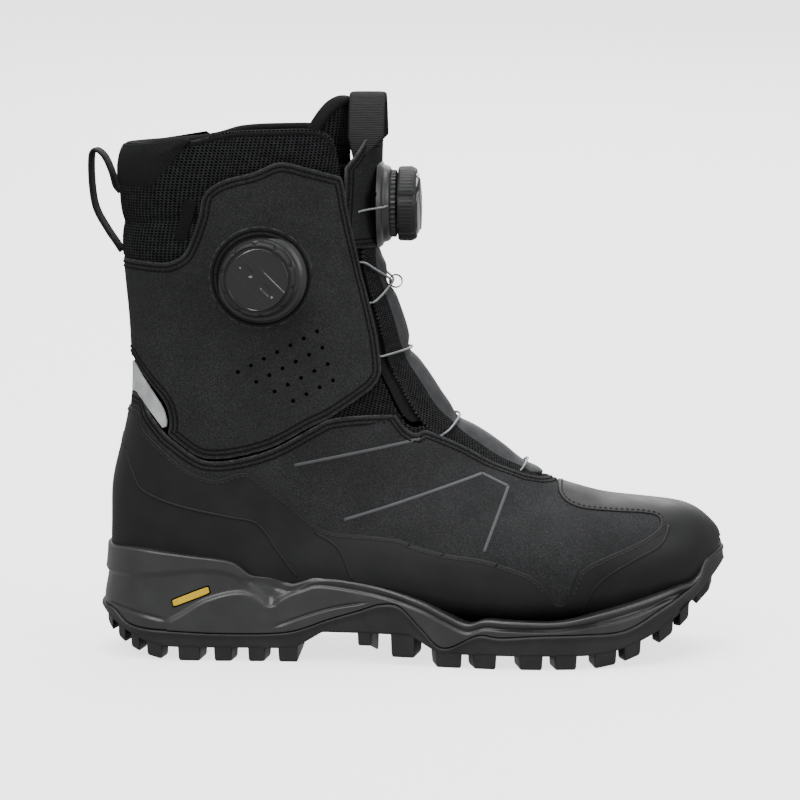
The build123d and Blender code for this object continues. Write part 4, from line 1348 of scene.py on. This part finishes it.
def midsole_relief(x, z, top, low):
    """The midsole's sculpted side wall: a rounded flange round the heel, and a body that swells below it."""
    below_top = top - z
    front = np.clip((x - 80) / 25, 0, 1)
    o = 0.8 * front * np.exp(-(((below_top - 1.4) / 1.2) ** 2))
    o -= 0.8 * front * np.exp(-(((below_top - 4.2) / 0.9) ** 2))
    flange = polygon_field(FLANGE, x, z)
    o += 1.7 * np.clip(flange / 2.6 + 0.3, 0, 1) * np.clip((84 - x) / 12, 0, 1)
    body = polygon_field(LOWER_BODY, x, z)
    o += 1.4 * ease(body / 2.0 + 0.5) * np.clip((150 - x) / 50, 0, 1)
    o -= 1.3 * ease(polygon_field(RECESS, x, z) / 4.0 + 0.3)
    o += crease(x, z, [(87, 17), (101.9, 22.9), (118.3, 27.9), (134.7, 30.8)], 0.6, 1.0)
    o += crease(x, z, [(3, 26), (20, 23), (35.2, 20)], 0.8, 1.1)
    return o + crease(x, z, [(196, 19.6), (230, 20.4), (262, 24.5), (292, 36)], 0.7, 0.8)


def wall(name, low, high, rows, relief, taper, material, nodes, closed_bottom=False):
    """A band round the sole between two height lines, turned in at its top and bottom."""
    x, y = plan_line[:, 0], plan_line[:, 1]
    rings, rings_uv = [], []
    heights = np.linspace(0, 1, rows)

    def add(z, offset):
        rings.append(np.stack([x + plan_out[:, 0] * offset, y + plan_out[:, 1] * offset, z], 1))
        rings_uv.append(np.stack([plan_walk, z], 1))

    if closed_bottom:
        for k in (0.0, 0.35, 0.65, 0.9):
            middle = np.interp(x, [0, 60, 130, 200, 260, 311], [0, -1, -3, -2, -2, 8])
            ring = np.stack([x, middle + (y - middle) * k, tread_base(x)], 1)
            rings.append(ring)
            rings_uv.append(ring[:, :2])
    else:
        add(low + 0.4, -9.0)
    add(low + 0.1, -1.2)
    for h in heights:
        z = low + 0.4 + (high - low - 0.8) * h
        add(z, relief(x, z, high, low) + taper(x, z))
    add(high - 0.05, taper(x, high) - 0.5)
    add(high - 0.1, taper(x, high) - 2.0)
    add(high - 1.0, taper(x, high) - 11.0)
    points = np.concatenate(rings)
    faces = ring_faces(len(rings), len(plan_line), False, True)
    obj = make_mesh(name, points, faces, np.concatenate(rings_uv))
    flip_if_inward(obj, rows // 2 * len(plan_line))
    finish_piece(obj, "boot", material, nodes)
    return obj


def flip_if_inward(obj, sample_face):
    """Turns the faces over if one on the outer wall points inwards."""
    face = obj.data.polygons[sample_face]
    middle = np.array(place((150, 0, 0)))[:2]
    if (np.array(face.center[:2]) - middle) @ np.array(face.normal[:2]) < 0:
        obj.data.flip_normals()


def sole_taper(x, z):
    """The wall leans in towards its top, and curls in at the toe and under the heel's back."""
    lean = -0.05 * np.clip(z - 30, 0, None)
    toe = np.clip((x - 285) / 20, 0, 1)
    heel = np.clip((16 - x) / 14, 0, 1)
    lean = lean - toe * (
        0.011 * np.clip(46 - z, 0, None) ** 2 * 0.6 + 0.018 * np.clip(z - 46, 0, None) ** 2
    )
    return lean - heel * (0.05 * np.clip(z - 30, 0, None)) + heel * 0.8 * np.cos((z - 18) / 9)


x_on_plan = plan_line[:, 0]
tread_top = height_on(TREAD_TOP, x_on_plan)
sole_top = height_on(SOLE_TOP, x_on_plan)
wall(
    "midsole_wall", tread_top, np.maximum(sole_top, tread_top + 1.5), 64, midsole_relief, sole_taper,
    "midsole", ("midsole",),
)


def outsole_relief(x, z, top, low):
    return 0.9 * np.exp(-(((top - z - 1.0) / 1.4) ** 2)) + 0.5


wall(
    "outsole_base", np.minimum(tread_base(x_on_plan), tread_top - 1.2), tread_top, 12, outsole_relief,
    sole_taper, "sole", ("outsole",), closed_bottom=True,
)

HEEL_LUGS = [
    (2.2, 6.2), (9, 13.4), (16.2, 21), (24.5, 32.5), (40.4, 51.6), (58.3, 67.4), (75.2, 83.5), (90.1, 100.1),
]
ARCH_LUGS = [(129.5, 136.5), (146, 158)]
BALL_LUGS = [
    (168.5, 181.5), (187, 198.5), (209.5, 221), (226.8, 237.7), (246, 257), (260.5, 269), (277.5, 285),
    (288, 293),
]


def edge_y(x, side_sign):
    """Sideways place of the sole's edge, on the lateral side (-1) or the medial side (1)."""
    half = plan_line[np.sign(plan_line[:, 1] - np.interp(plan_line[:, 0], [0, 311], [0, 8])) == side_sign]
    order = np.argsort(half[:, 0])
    return np.interp(x, half[order, 0], half[order, 1])


def lug(plan, draft=0.9, bevel=0.9):
    """Points and faces of one lug: a bevelled block from the tread's face down to its tip."""
    p = np.array(plan, float)
    if (np.cross(np.roll(p, -1, 0) - p, np.roll(p, -2, 0) - np.roll(p, -1, 0))).sum() < 0:
        p = p[::-1]
    cut_corners = []
    for before, corner, after in zip(np.roll(p, 1, 0), p, np.roll(p, -1, 0)):
        a, b = before - corner, after - corner
        r = min(1.2, 0.3 * np.linalg.norm(a), 0.3 * np.linalg.norm(b))
        cut_corners += [
            corner + a / np.linalg.norm(a) * r,
            corner + (a / np.linalg.norm(a) + b / np.linalg.norm(b)) * r * 0.3,
            corner + b / np.linalg.norm(b) * r,
        ]
    p = np.array(cut_corners)
    centre = p.mean(0)
    size = np.linalg.norm(p - centre, axis=1, keepdims=True)
    rings = []
    for up, pull in (
        (1.0, -draft * 0.4), (0.9, 0.0), (0.16, draft * 0.5), (0.05, draft * 0.5 + bevel * 0.45),
        (0.0, draft * 0.5 + bevel),
    ):
        q = p - (p - centre) / size * pull
        low, high = underside(q[:, 0]), tread_base(q[:, 0]) + 1.0
        rings.append(np.column_stack([q, low + (high - low) * up]))
    return rings


def add_lugs():
    shapes = []
    for group, spans, slant in (("heel", HEEL_LUGS, 2.0), ("fore", BALL_LUGS, -3.4)):
        for k, (start, end) in enumerate(spans):
            for sign in (-1, 1):
                outer = [edge_y(start, sign) + sign * 0.6, edge_y(end, sign) + sign * 0.6]
                deep = 15 if k % 2 else 18.5
                if abs(outer[0]) < 10 or abs(outer[1]) < 10:
                    continue
                deep = min(deep, 0.72 * min(abs(outer[0]), abs(outer[1])))
                lean = slant if sign < 0 else -slant
                shapes.append([
                    (start, outer[0]), (end, outer[1]), (end + lean, outer[1] - sign * deep),
                    (start + lean, outer[0] - sign * deep),
                ])
            wide = min(abs(edge_y((start + end) / 2, -1)), abs(edge_y((start + end) / 2, 1)))
            if wide > 26:
                inner = wide - 21
                middle = -2 if group == "fore" else 0
                deep = (end - start) * 0.8
                for sign in (-1, 1):
                    tip = start + 2.5
                    shapes.append([
                        (tip, middle + sign * 1.6), (tip + deep, middle + sign * 1.6),
                        (tip + deep - 3.0, middle + sign * inner), (tip - 3.0, middle + sign * inner),
                    ])
    for start, end in ARCH_LUGS:
        for sign in (-1, 1):
            outer = [edge_y(start, sign) + sign * 0.4, edge_y(end, sign) + sign * 0.4]
            shapes.append([
                (start, outer[0]), (end, outer[1]), (end + 3, outer[1] - sign * 20),
                (start + 3, outer[0] - sign * 20),
            ])
    shapes.append([(296.5, -8), (303.5, -3), (305.5, 8), (303, 18), (297, 24), (294.5, 8)])
    points, faces = [], []
    for shape in shapes:
        rings = lug(shape)
        start, m = len(points), len(rings[0])
        points += [tuple(q) for ring in rings for q in ring]
        faces += [f[::-1] for f in ring_faces(len(rings), m, False, True, start)]
        faces.append(tuple(start + (len(rings) - 1) * m + j for j in range(m - 1, -1, -1)))
    obj = make_mesh("outsole_lugs", np.array(points), faces, np.array(points)[:, :2], smooth_shade=False)
    finish_piece(obj, "boot", "sole", ())
    return obj


add_lugs()


# ---- Places on the front of the boot, for laces and guides ----
RIDGE_U = np.linspace(0, 20, 2001)
RIDGE_Z = spline_at(SECTIONS, SECTION_SLOPES, RIDGE_U)[:, 1]


def on_skin(row, y, lift):
    """The point at sideways place y in the section whose ridge is at height row, lifted off the skin."""
    u = float(np.interp(-row, -RIDGE_Z, RIDGE_U))
    s = spline_at(SECTIONS, SECTION_SLOPES, np.array([u]))[0]
    half = s[4] if y < s[9] else s[5]
    a = math.asin(min(1.0, abs(y - s[9]) / half) ** (s[7] / 2)) * (1 if y < s[9] else -1)
    point, _, _, normal = skin_frame(np.array([u]), np.array([a]))
    return point[0] + normal[0] * lift


def route(*places):
    return [on_skin(*p) for p in places]


def nurbs_line(points, step=0.8):
    """The smooth line that a NURBS spline draws from a route's points."""
    data = bpy.data.curves.new("route", "CURVE")
    data.dimensions = "3D"
    spline = data.splines.new("NURBS")
    spline.points.add(len(points) - 1)
    for place_at, point in zip(spline.points, points):
        place_at.co = (*point, 1)
    spline.order_u = 3
    spline.use_endpoint_u = True
    spline.resolution_u = 16
    obj = bpy.data.objects.new("route", data)
    mesh = bpy.data.meshes.new_from_object(obj)
    line = np.array([v.co for v in mesh.vertices], float)
    bpy.data.objects.remove(obj)
    bpy.data.meshes.remove(mesh)
    return resample(line, step)


def frames_along(line, hint):
    along = directions(line)
    side_axis = np.cross(along, hint)
    side_axis /= np.linalg.norm(side_axis, axis=1, keepdims=True) + 1e-12
    return along, side_axis, np.cross(side_axis, along)


LACE_R = 0.6
LACE_HINT = np.array([1.0, 0.02, 0.35])


def lace_piece(name, lines, body, node):
    """A steel lace: one tube per line, joined in one mesh."""
    objs = []
    for line in lines:
        _, side_axis, up_axis = frames_along(line, LACE_HINT)
        objs.append(sweep(name, line, side_axis, up_axis, oval(LACE_R, LACE_R, 10), "wire", None))
    obj = joined(name, objs)
    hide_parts(node)
    if body:
        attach(obj, body)
    return obj


def joined(name, objs):
    """Several mesh objects made into one."""
    bpy.ops.object.select_all(action="DESELECT")
    for o in objs:
        o.select_set(True)
    bpy.context.view_layer.objects.active = objs[0]
    if len(objs) > 1:
        bpy.ops.object.join()
    objs[0].name = name
    return objs[0]


ribbon_on_skin("vamp_printed_lines", PRINTED, 0.15, 1.7, 0.12, "print", rounded_line=False)
ribbon_on_skin("rand_pressed_lines", PRESSED, 0.95, 1.5, 0.35, "rand")
punched_holes()

SPOOL_Z = 4.7
FRONT_DIAL = np.array([139.2, 0.0, 223.9])
SIDE_DIAL = np.array([82.5, -44.0, 190.3])
LACE_DEPTH = 4.2
LACE_HEIGHT = 1.7


def under(edge, hidden, half, side_sign):
    """Places from the tongue's top to under the panel whose edge is half from the middle, over two rows."""
    return [
        (edge, side_sign * (half - 3.5), LACE_HEIGHT), (edge, side_sign * (half - 1.7), -1.6),
        (hidden, side_sign * (half + 2.7), -LACE_DEPTH),
    ]


def upper_route(side_sign, lift):
    """From the front dial under one cuff edge, across the tongue's ring, to the other edge's guide."""
    start = FRONT_DIAL + [SPOOL_Z, side_sign * 12.8, 0]
    outlet = FRONT_DIAL + [SPOOL_Z, side_sign * 21.5, -0.5]
    hidden = [(222, side_sign * 23.2, 0.2), (218, side_sign * 26.6, -3.6), (210, side_sign * 27.5, -4.6)]
    near_side = under(196.5, 199, 24.5, side_sign)[::-1]
    across = [
        (192.5, side_sign * 16, LACE_HEIGHT), (188.5, side_sign * 9, 2.0), (185, 0, lift),
        (182.5, -side_sign * 9, 2.0), (179.5, -side_sign * 16, LACE_HEIGHT),
    ]
    far = under(177, 174.5, 24.5, -side_sign) + [(168, -side_sign * 27.4, -4.6)]
    return [start, outlet] + route(*hidden, *near_side, *across, *far)


def lower_route():
    """From a guide under the lateral cuff edge, three times across the tongue, to one under the vamp."""
    start = [(167.3, -27.4, -4.6), (158, -27.3, -LACE_DEPTH)]
    instep = under(152, 153.5, 24.5, -1)[::-1] + [(152, -9, 1.8), (152, 0, 1.9), (152, 9, 1.8)]
    instep += under(152, 150, 24.5, 1)
    medial_side = [(143, 28, -LACE_DEPTH), (134, 27.6, -LACE_DEPTH), (127, 27, -LACE_DEPTH)]
    middle = under(120, 122, 23.4, 1)[::-1] + [(118.6, 9, 1.8), (118, 0, 1.9), (116.5, -9, 1.8)]
    middle += under(114.3, 112.6, 19.4, -1)
    lateral_side = [(106, -18.8, -LACE_DEPTH), (100.5, -18.1, -LACE_DEPTH)]
    end = under(94.5, 96, 14.7, -1)[::-1] + [(95.2, -5.5, 1.8), (95.5, 0, 1.9), (95.2, 5.5, 1.8)]
    end += under(94.5, 95, 14.7, 1) + [(100.5, 18.1, -LACE_DEPTH)]
    return route(*start, *instep, *medial_side, *middle, *lateral_side, *end)


upper_routes = [upper_route(-1, 2.3), upper_route(1, 4.1)]
upper_lace = lace_piece("lace_upper", [nurbs_line(r) for r in upper_routes], None, "upper_lace")
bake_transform(upper_lace)
lower_points = lower_route()
lace_piece("lace_lower", [nurbs_line(lower_points)], "boot", "lower_lace")


BORE_RADIUS = 0.95
SLEEVE_STATIONS = 13


def guide_sleeve(points, k, share=0.2, radius=1.75):
    """A moulded sleeve round the middle of one run of a route, flared at both mouths."""
    start, end = points[k], points[k + 1]
    stations = np.linspace(0.5 - share, 0.5 + share, SLEEVE_STATIONS)
    line = np.array([start + (end - start) * t for t in stations])
    _, side_axis, up_axis = frames_along(line, LACE_HINT)
    flare = radius * (1 + 0.22 * np.abs(np.linspace(-1, 1, SLEEVE_STATIONS)) ** 4)
    profile = np.array([oval(r, r, 16) for r in flare])
    outer = sweep("sleeve", line, side_axis, up_axis, profile, "plastic", None, caps=False)
    inside = np.array([oval(BORE_RADIUS, BORE_RADIUS, 16)] * SLEEVE_STATIONS)
    bore = sweep("bore", line, side_axis, up_axis, inside, "plastic", None, caps=False, flip=True)
    return [outer, bore]


cuff_sleeves = [s for r in upper_routes for k in (4, len(r) - 2) for s in guide_sleeve(r, k)]
cuff_sleeves += [s for k in (0, 10) for s in guide_sleeve(lower_points, k)]
cuff_guides = joined("cuff_lace_sleeves", cuff_sleeves)
finish_piece(cuff_guides, "boot", None, ("cuff_lace_guides",))
vamp_sleeves = [s for k in (13, 22, 24, 33) for s in guide_sleeve(lower_points, k, 0.25, 1.6)]
vamp_guides = joined("vamp_lace_sleeves", vamp_sleeves)
finish_piece(vamp_guides, "boot", None, ("vamp_lace_guides",))


# ---- Dials ----
def dial_points(frame_at, places):
    origin, x_dir, z_dir = frame_at
    y_dir = np.cross(z_dir, x_dir)
    p = np.asarray(places, float)
    return origin + p[:, :1] * x_dir + p[:, 1:2] * y_dir + p[:, 2:] * z_dir


FRONT_FRAME = (FRONT_DIAL, np.array([0.0, 1.0, 0.0]), np.array([1.0, 0.0, 0.0]))
SIDE_FRAME = (SIDE_DIAL, np.array([1.0, 0.0, 0.0]), np.array([0.0, -1.0, 0.0]))


def turned(name, frame_at, profile, material, body, nodes, steps=200):
    """A turned part whose radius and height at each profile place may vary with the angle."""
    places, uv = [], []
    for k in range(steps):
        angle = 2 * math.pi * k / steps
        for j, (r, z) in enumerate(profile(angle)):
            places.append((r * math.cos(angle), r * math.sin(angle), z))
            uv.append((r * math.cos(angle), r * math.sin(angle)))
    m = len(profile(0.0))
    obj = make_mesh(
        name, dial_points(frame_at, places), [f[::-1] for f in ring_faces(steps, m, True, False)], uv
    )
    finish_piece(obj, body, material, nodes)
    return obj


def rounded(points, radius=0.5, count=3):
    """An open profile with its corners rounded."""
    p = np.array(points, float)
    out = [p[0]]
    for before, corner, after in zip(p, p[1:], p[2:]):
        a, b = before - corner, after - corner
        r = min(radius, 0.45 * np.linalg.norm(a), 0.45 * np.linalg.norm(b))
        start, end = corner + a / np.linalg.norm(a) * r, corner + b / np.linalg.norm(b) * r
        for t in np.linspace(0, 1, count + 1):
            out.append((1 - t) ** 2 * start + 2 * t * (1 - t) * corner + t * t * end)
    out.append(p[-1])
    return out


KNOB_TRAVEL = 2.6
GRIP_RADIUS = 18.5
GRIP_LOW, GRIP_HIGH = 8.4, 17.2  # heights over the dial's seat with the knob pulled out
BAND_HALF = 5.2
RATCHET_TEETH = 40


def dial(side_name, frame_at, pushed, notches):
    """The grip, cap and housing ring of a dial whose knob is pushed in by pushed millimetres."""
    low, high = GRIP_LOW - pushed, GRIP_HIGH - pushed

    def grip_profile(angle):
        dent = max(0.0, math.cos(notches * (angle - 0.4))) ** 6
        r = GRIP_RADIUS - 1.0 * dent
        ribs = 0.12 * math.cos(angle * 60)
        return rounded(
            [
                (13.4, low + 3.4), (17.0, low + 3.0), (17.2, low + 0.3), (r - 0.5, low),
                (r + ribs * 0.3, low + 1.2), (r + ribs, high - 2.2), (r - 0.6, high - 0.6),
                (r - 1.3, high + 0.4), (16.2, high + 0.5), (15.8, high - 0.3), (15.2, high - 1.2),
            ],
            0.5,
        )

    turned(
        f"{side_name}_knob_grip", frame_at, grip_profile, "grip", f"{side_name}_knob",
        (f"{side_name}_dial_grip",), 480,
    )

    def cap_height(x, y, r):
        along = (x + y) / math.sqrt(2)
        band = 1 / (1 + math.exp((abs(along) - BAND_HALF) * 6))
        h = high + 2.3 - 0.0022 * r * r
        h += 0.5 * band
        if abs(along) > BAND_HALF:
            h -= 0.2 * (abs(along) - BAND_HALF)
        across = (x - y) / math.sqrt(2)
        for centre in (-1, 1):
            d = math.hypot(max(abs(across - centre * 7) - 2.4, 0), along)
            h -= 0.7 / (1 + math.exp((d - 1.5) * 7))
        return h

    def cap_profile(angle):
        c, s = math.cos(angle), math.sin(angle)
        rows = [(15.1, high - 1.4), (15.1, high + 0.5), (14.8, high + 1.2)]
        for r in np.concatenate([[14.5], np.linspace(14.2, 0.02, 40)]):
            rows.append((r, cap_height(r * c, r * s, r)))
        return rows

    turned(
        f"{side_name}_knob_cap", frame_at, cap_profile, "gloss", f"{side_name}_knob",
        (f"{side_name}_dial_cap",), 200,
    )

    def housing_profile(angle):
        wave = (angle * RATCHET_TEETH / (2 * math.pi)) % 1
        tooth = 0.8 * max(0.0, 1 - abs(wave - 0.5) * 2.6)
        return rounded(
            [
                (22.5, -1.6), (21.0, 0.6), (19.4, 1.4), (18.8, 3.4), (18.1, 4.5), (17.3, 4.7),
                (15.9 + tooth, 5.1), (15.9 + tooth, 7.5), (15.2, 7.9), (12.3, 7.9), (12.0, 3.0),
            ],
            0.4, 2,
        )

    turned(
        f"{side_name}_housing_ring", frame_at, housing_profile, "ring",
        "tongue" if side_name == "front" else "boot", (f"{side_name}_dial_housing",), 800,
    )


dial("front", FRONT_FRAME, 0.0, 5)
dial("side", SIDE_FRAME, KNOB_TRAVEL, 10)


SIDE_PATCH_RADIUS = 25.0
FAR_OUTSIDE = -30.0


def side_patch():
    """The rubberised disc under the side dial, with a raised ring, following the boot's skin."""
    def field(p):
        away = np.hypot(p[..., 0] - SIDE_DIAL[0], p[..., 2] - SIDE_DIAL[2])
        return np.where(p[..., 1] < 0, SIDE_PATCH_RADIUS - away, FAR_OUTSIDE)

    def relief(c):
        r = SIDE_PATCH_RADIUS - c["edge"]
        return 0.5 * np.exp(-((r - 21.0) / 1.3) ** 2) - 0.3 * np.exp(-((r - 23.2) / 0.5) ** 2)

    panel(
        "side_dial_pad", field, 0.3, 0.7, "dial_nubuck", "boot", relief=relief, nodes=("side_dial_patch",),
        rim=0.4,
    )
    stitches("side_dial_stitches", field, (1.7,), 0.75, keep=None)


side_patch()

# ---- Pull loops and label ----
HEEL_LOOP = [
    (9.2, 229.3), (6.6, 232.5), (4.8, 239), (1.8, 246), (-1, 249.3), (-3.8, 250.3), (-5.4, 247),
    (-5.3, 233.5), (-3.2, 221), (2.8, 210), (7, 203.8), (9.6, 199.8),
]
TONGUE_LOOP_HALF = [
    (20.5, 243.5), (20.6, 248), (20.2, 252.5), (18.6, 258.5), (15.9, 264.5), (13, 269.8), (9.8, 274),
    (5.5, 277.4),
]
TONGUE_LOOP = [(-y, z) for y, z in TONGUE_LOOP_HALF] + [(0, 278.6)] + TONGUE_LOOP_HALF[::-1]


def strap(name, points, across, width, thickness, point_length=0.0):
    """Webbing along a smooth line: flat, with rolled selvedges, its ends cut to a slant if one is given."""
    line = resample(smooth(points, per=10), 0.9)
    walked = np.arange(len(line)) * 0.9
    along = directions(line)
    side_axis = np.tile(across, (len(line), 1))
    up_axis = np.cross(along, side_axis)
    shape = []
    for t in np.linspace(-1, 1, 21):
        selvedge = 1 + 0.25 * math.exp(-((abs(t) - 0.9) / 0.06) ** 2)
        shape.append((t * width / 2, thickness / 2 * (1 - abs(t) ** 8) * selvedge))
    shape += [(x, -y) for x, y in shape[-2:0:-1]]
    rows = np.tile(np.array(shape), (len(line), 1, 1))
    if point_length:
        narrow = np.clip(np.minimum(walked, walked[-1] - walked) / point_length, 0.06, 1)[:, None]
        tip = -0.3 * width
        rows[..., 0] = tip + (rows[..., 0] - tip) * narrow
    return sweep(name, line, side_axis, up_axis, rows, "webbing", None)


heel_strap = strap(
    "heel_loop_webbing", [(x, 0.0, z) for x, z in HEEL_LOOP], np.array([0.0, 1.0, 0.0]), 18, 1.9
)
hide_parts("heel_pull_loop", "heel_loop_tabs")
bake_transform(heel_strap)
tongue_strap = strap(
    "tongue_loop_webbing", [(132.6, y, z) for y, z in TONGUE_LOOP], np.array([1.0, 0.0, 0.0]), 18, 1.6, 14
)
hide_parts("tongue_pull_loop", "tongue_loop_tabs")
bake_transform(tongue_strap)

label_outline = outline([(46.4, 229), (52.4, 227)], [(46.7, 207.4), (40.7, 209.1)])
panel(
    "side_label_tab", both(side(label_outline), lateral), 0.3, 0.8, "binding", "boot",
    nodes=("side_label",), rim=0.4,
)

puff_outline = outline([(238, 20), (238, 97)], [(340, 97), (340, 20)])
panel(
    "toe_stiffener", side(puff_outline), -2.6, 1.1, "stiffener", "boot", nodes=("toe_puff",),
    rim=0.4,
)
# Painted shade: a near-black tube in the hole-shadow material stands for the dark inside the lace wire's
# outlet.
outlet_line = [(136.3, -19.6, z) for z in np.linspace(223.4, 230.4, 6)]
sweep(
    "front_dial_wire_outlet", outlet_line, np.tile([1.0, 0, 0], (6, 1)), np.tile([0, 1.0, 0], (6, 1)),
    oval(1.75, 2.6, 20, 5), "hole", "tongue",
)


def sole_badge():
    """A plain slanted badge moulded on the outer side of the midsole: a dark border and a bright face."""
    outer_side = np.where(plan_line[:, 1] < 0)[0]
    order = outer_side[np.argsort(plan_line[outer_side, 0])]
    xs = plan_line[order, 0]

    def on_wall(x, z, lift):
        y = np.interp(x, xs, plan_line[order, 1])
        out = np.stack([np.interp(x, xs, plan_out[order, k]) for k in (0, 1)], -1)
        top = height_on(SOLE_TOP, x)
        offset = midsole_relief(x, z, top, z) + sole_taper(x, z) + lift
        return np.stack([x + out[..., 0] * offset, y + out[..., 1] * offset, z], -1)

    for name, half_length, half_height, lift, material in (
        ("sole_badge_border", 10.6, 2.6, 0.35, "hole"), ("sole_badge_face", 10.0, 1.9, 0.6, "badge"),
    ):
        t, v = np.meshgrid(np.linspace(-1, 1, 41), np.linspace(-1, 1, 11), indexing="ij")
        width = half_height * (1 - 0.35 * np.abs(t) ** 10)
        x = 47.2 + half_length * t * 0.93 - 0.25 * v * width
        z = 32.2 + half_length * t * 0.37 + v * width
        edge = np.maximum(np.abs(t), np.abs(v)) > 0.99
        points = on_wall(x, z, np.where(edge, -0.6, lift))
        obj = make_mesh(
            name, points.reshape(-1, 3), ring_faces(41, 11, False, False),
            np.stack([x, z], -1).reshape(-1, 2),
        )
        if np.array(obj.data.polygons[200].normal)[1] > 0:
            obj.data.flip_normals()
        finish_piece(obj, "boot", material, ())


sole_badge()

# ---- CAD nodes that keep their own shape ----
KEPT = {
    "insole_board": "stiffener", "footbed": "lining", "heel_counter": "stiffener", "shank": "steel",
    "tongue_lace_ring": "webbing",
    "front_dial_post": "ring", "side_dial_post": "ring",
    "front_dial_spool": "plastic", "front_dial_bush": "plastic", "front_dial_knob": "plastic",
    "side_dial_spool": "plastic", "side_dial_bush": "plastic", "side_dial_knob": "plastic",
}
for node, key in KEPT.items():
    node_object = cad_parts[node]
    for material_slot in node_object.material_slots:
        material_slot.material = M[key]

# ---- Floor and light ----
ROOM_LIGHT = 0.5
WALL_BRIGHTNESS = 3.35
PAPER_GLOW = 1.95
floor_mesh = bpy.data.meshes.new("floor")
floor_points, floor_rows, floor_columns = [], 60, 30
for i in range(floor_rows):
    t = i / (floor_rows - 1)
    back = -3.5 + 9.5 * t
    rise = 0.0 if back < 2.2 else (back - 2.2) ** 2 * 0.22
    for j in range(floor_columns):
        floor_points.append((-4.5 + 9 * j / (floor_columns - 1), back, rise))
floor_mesh.from_pydata(floor_points, [], ring_faces(floor_rows, floor_columns, False, False))
floor_mesh.polygons.foreach_set("use_smooth", [True] * len(floor_mesh.polygons))
floor = bpy.data.objects.new("floor", floor_mesh)
bpy.context.scene.collection.objects.link(floor)
paper = Shader("paper", (0.8, 0.8, 0.8), 1.0)
paper.set("Specular IOR Level", 0.0)
paper.set("Emission Color", (1.0, 1.0, 1.0, 1))
paper.set("Emission Strength", PAPER_GLOW)
floor_mesh.materials.append(paper.material)
floor.visible_diffuse = False
floor.visible_glossy = False

world = bpy.data.worlds.new("world")
world.use_nodes = True
world_nodes, world_links = world.node_tree.nodes, world.node_tree.links
room = world_nodes["Background"]
room.inputs["Color"].default_value = (1.0, 1.0, 1.0, 1)
room.inputs["Strength"].default_value = ROOM_LIGHT
wall_seen = world_nodes.new("ShaderNodeBackground")
wall_seen.inputs["Strength"].default_value = WALL_BRIGHTNESS
path = world_nodes.new("ShaderNodeLightPath")
world_mix = world_nodes.new("ShaderNodeMixShader")
world_links.new(path.outputs["Is Camera Ray"], world_mix.inputs[0])
world_links.new(room.outputs[0], world_mix.inputs[1])
world_links.new(wall_seen.outputs[0], world_mix.inputs[2])
world_links.new(world_mix.outputs[0], world_nodes["World Output"].inputs["Surface"])
bpy.context.scene.world = world


def area_light(name, position, target, size, energy):
    """A soft box: positions in millimetres, size in metres and energy in watts."""
    data = bpy.data.lights.new(name, "AREA")
    data.shape = "RECTANGLE"
    data.size = data.size_y = size
    data.energy = energy
    light = bpy.data.objects.new(name, data)
    bpy.context.scene.collection.objects.link(light)
    at, to = place(position), place(target)
    light.location = at
    direction = Vector(tuple(to - at))
    light.rotation_euler = direction.to_track_quat("-Z", "Y").to_euler()


area_light("top", (150, 300, 3000), (150, 0, 100), 2.4, 105)
area_light("key", (-900, -2500, 2300), (150, 0, 120), 2.0, 62)
area_light("toe_side", (2700, -1400, 1300), (220, 0, 90), 1.8, 34)
area_light("rim", (300, 2700, 1500), (150, 0, 130), 2.0, 40)
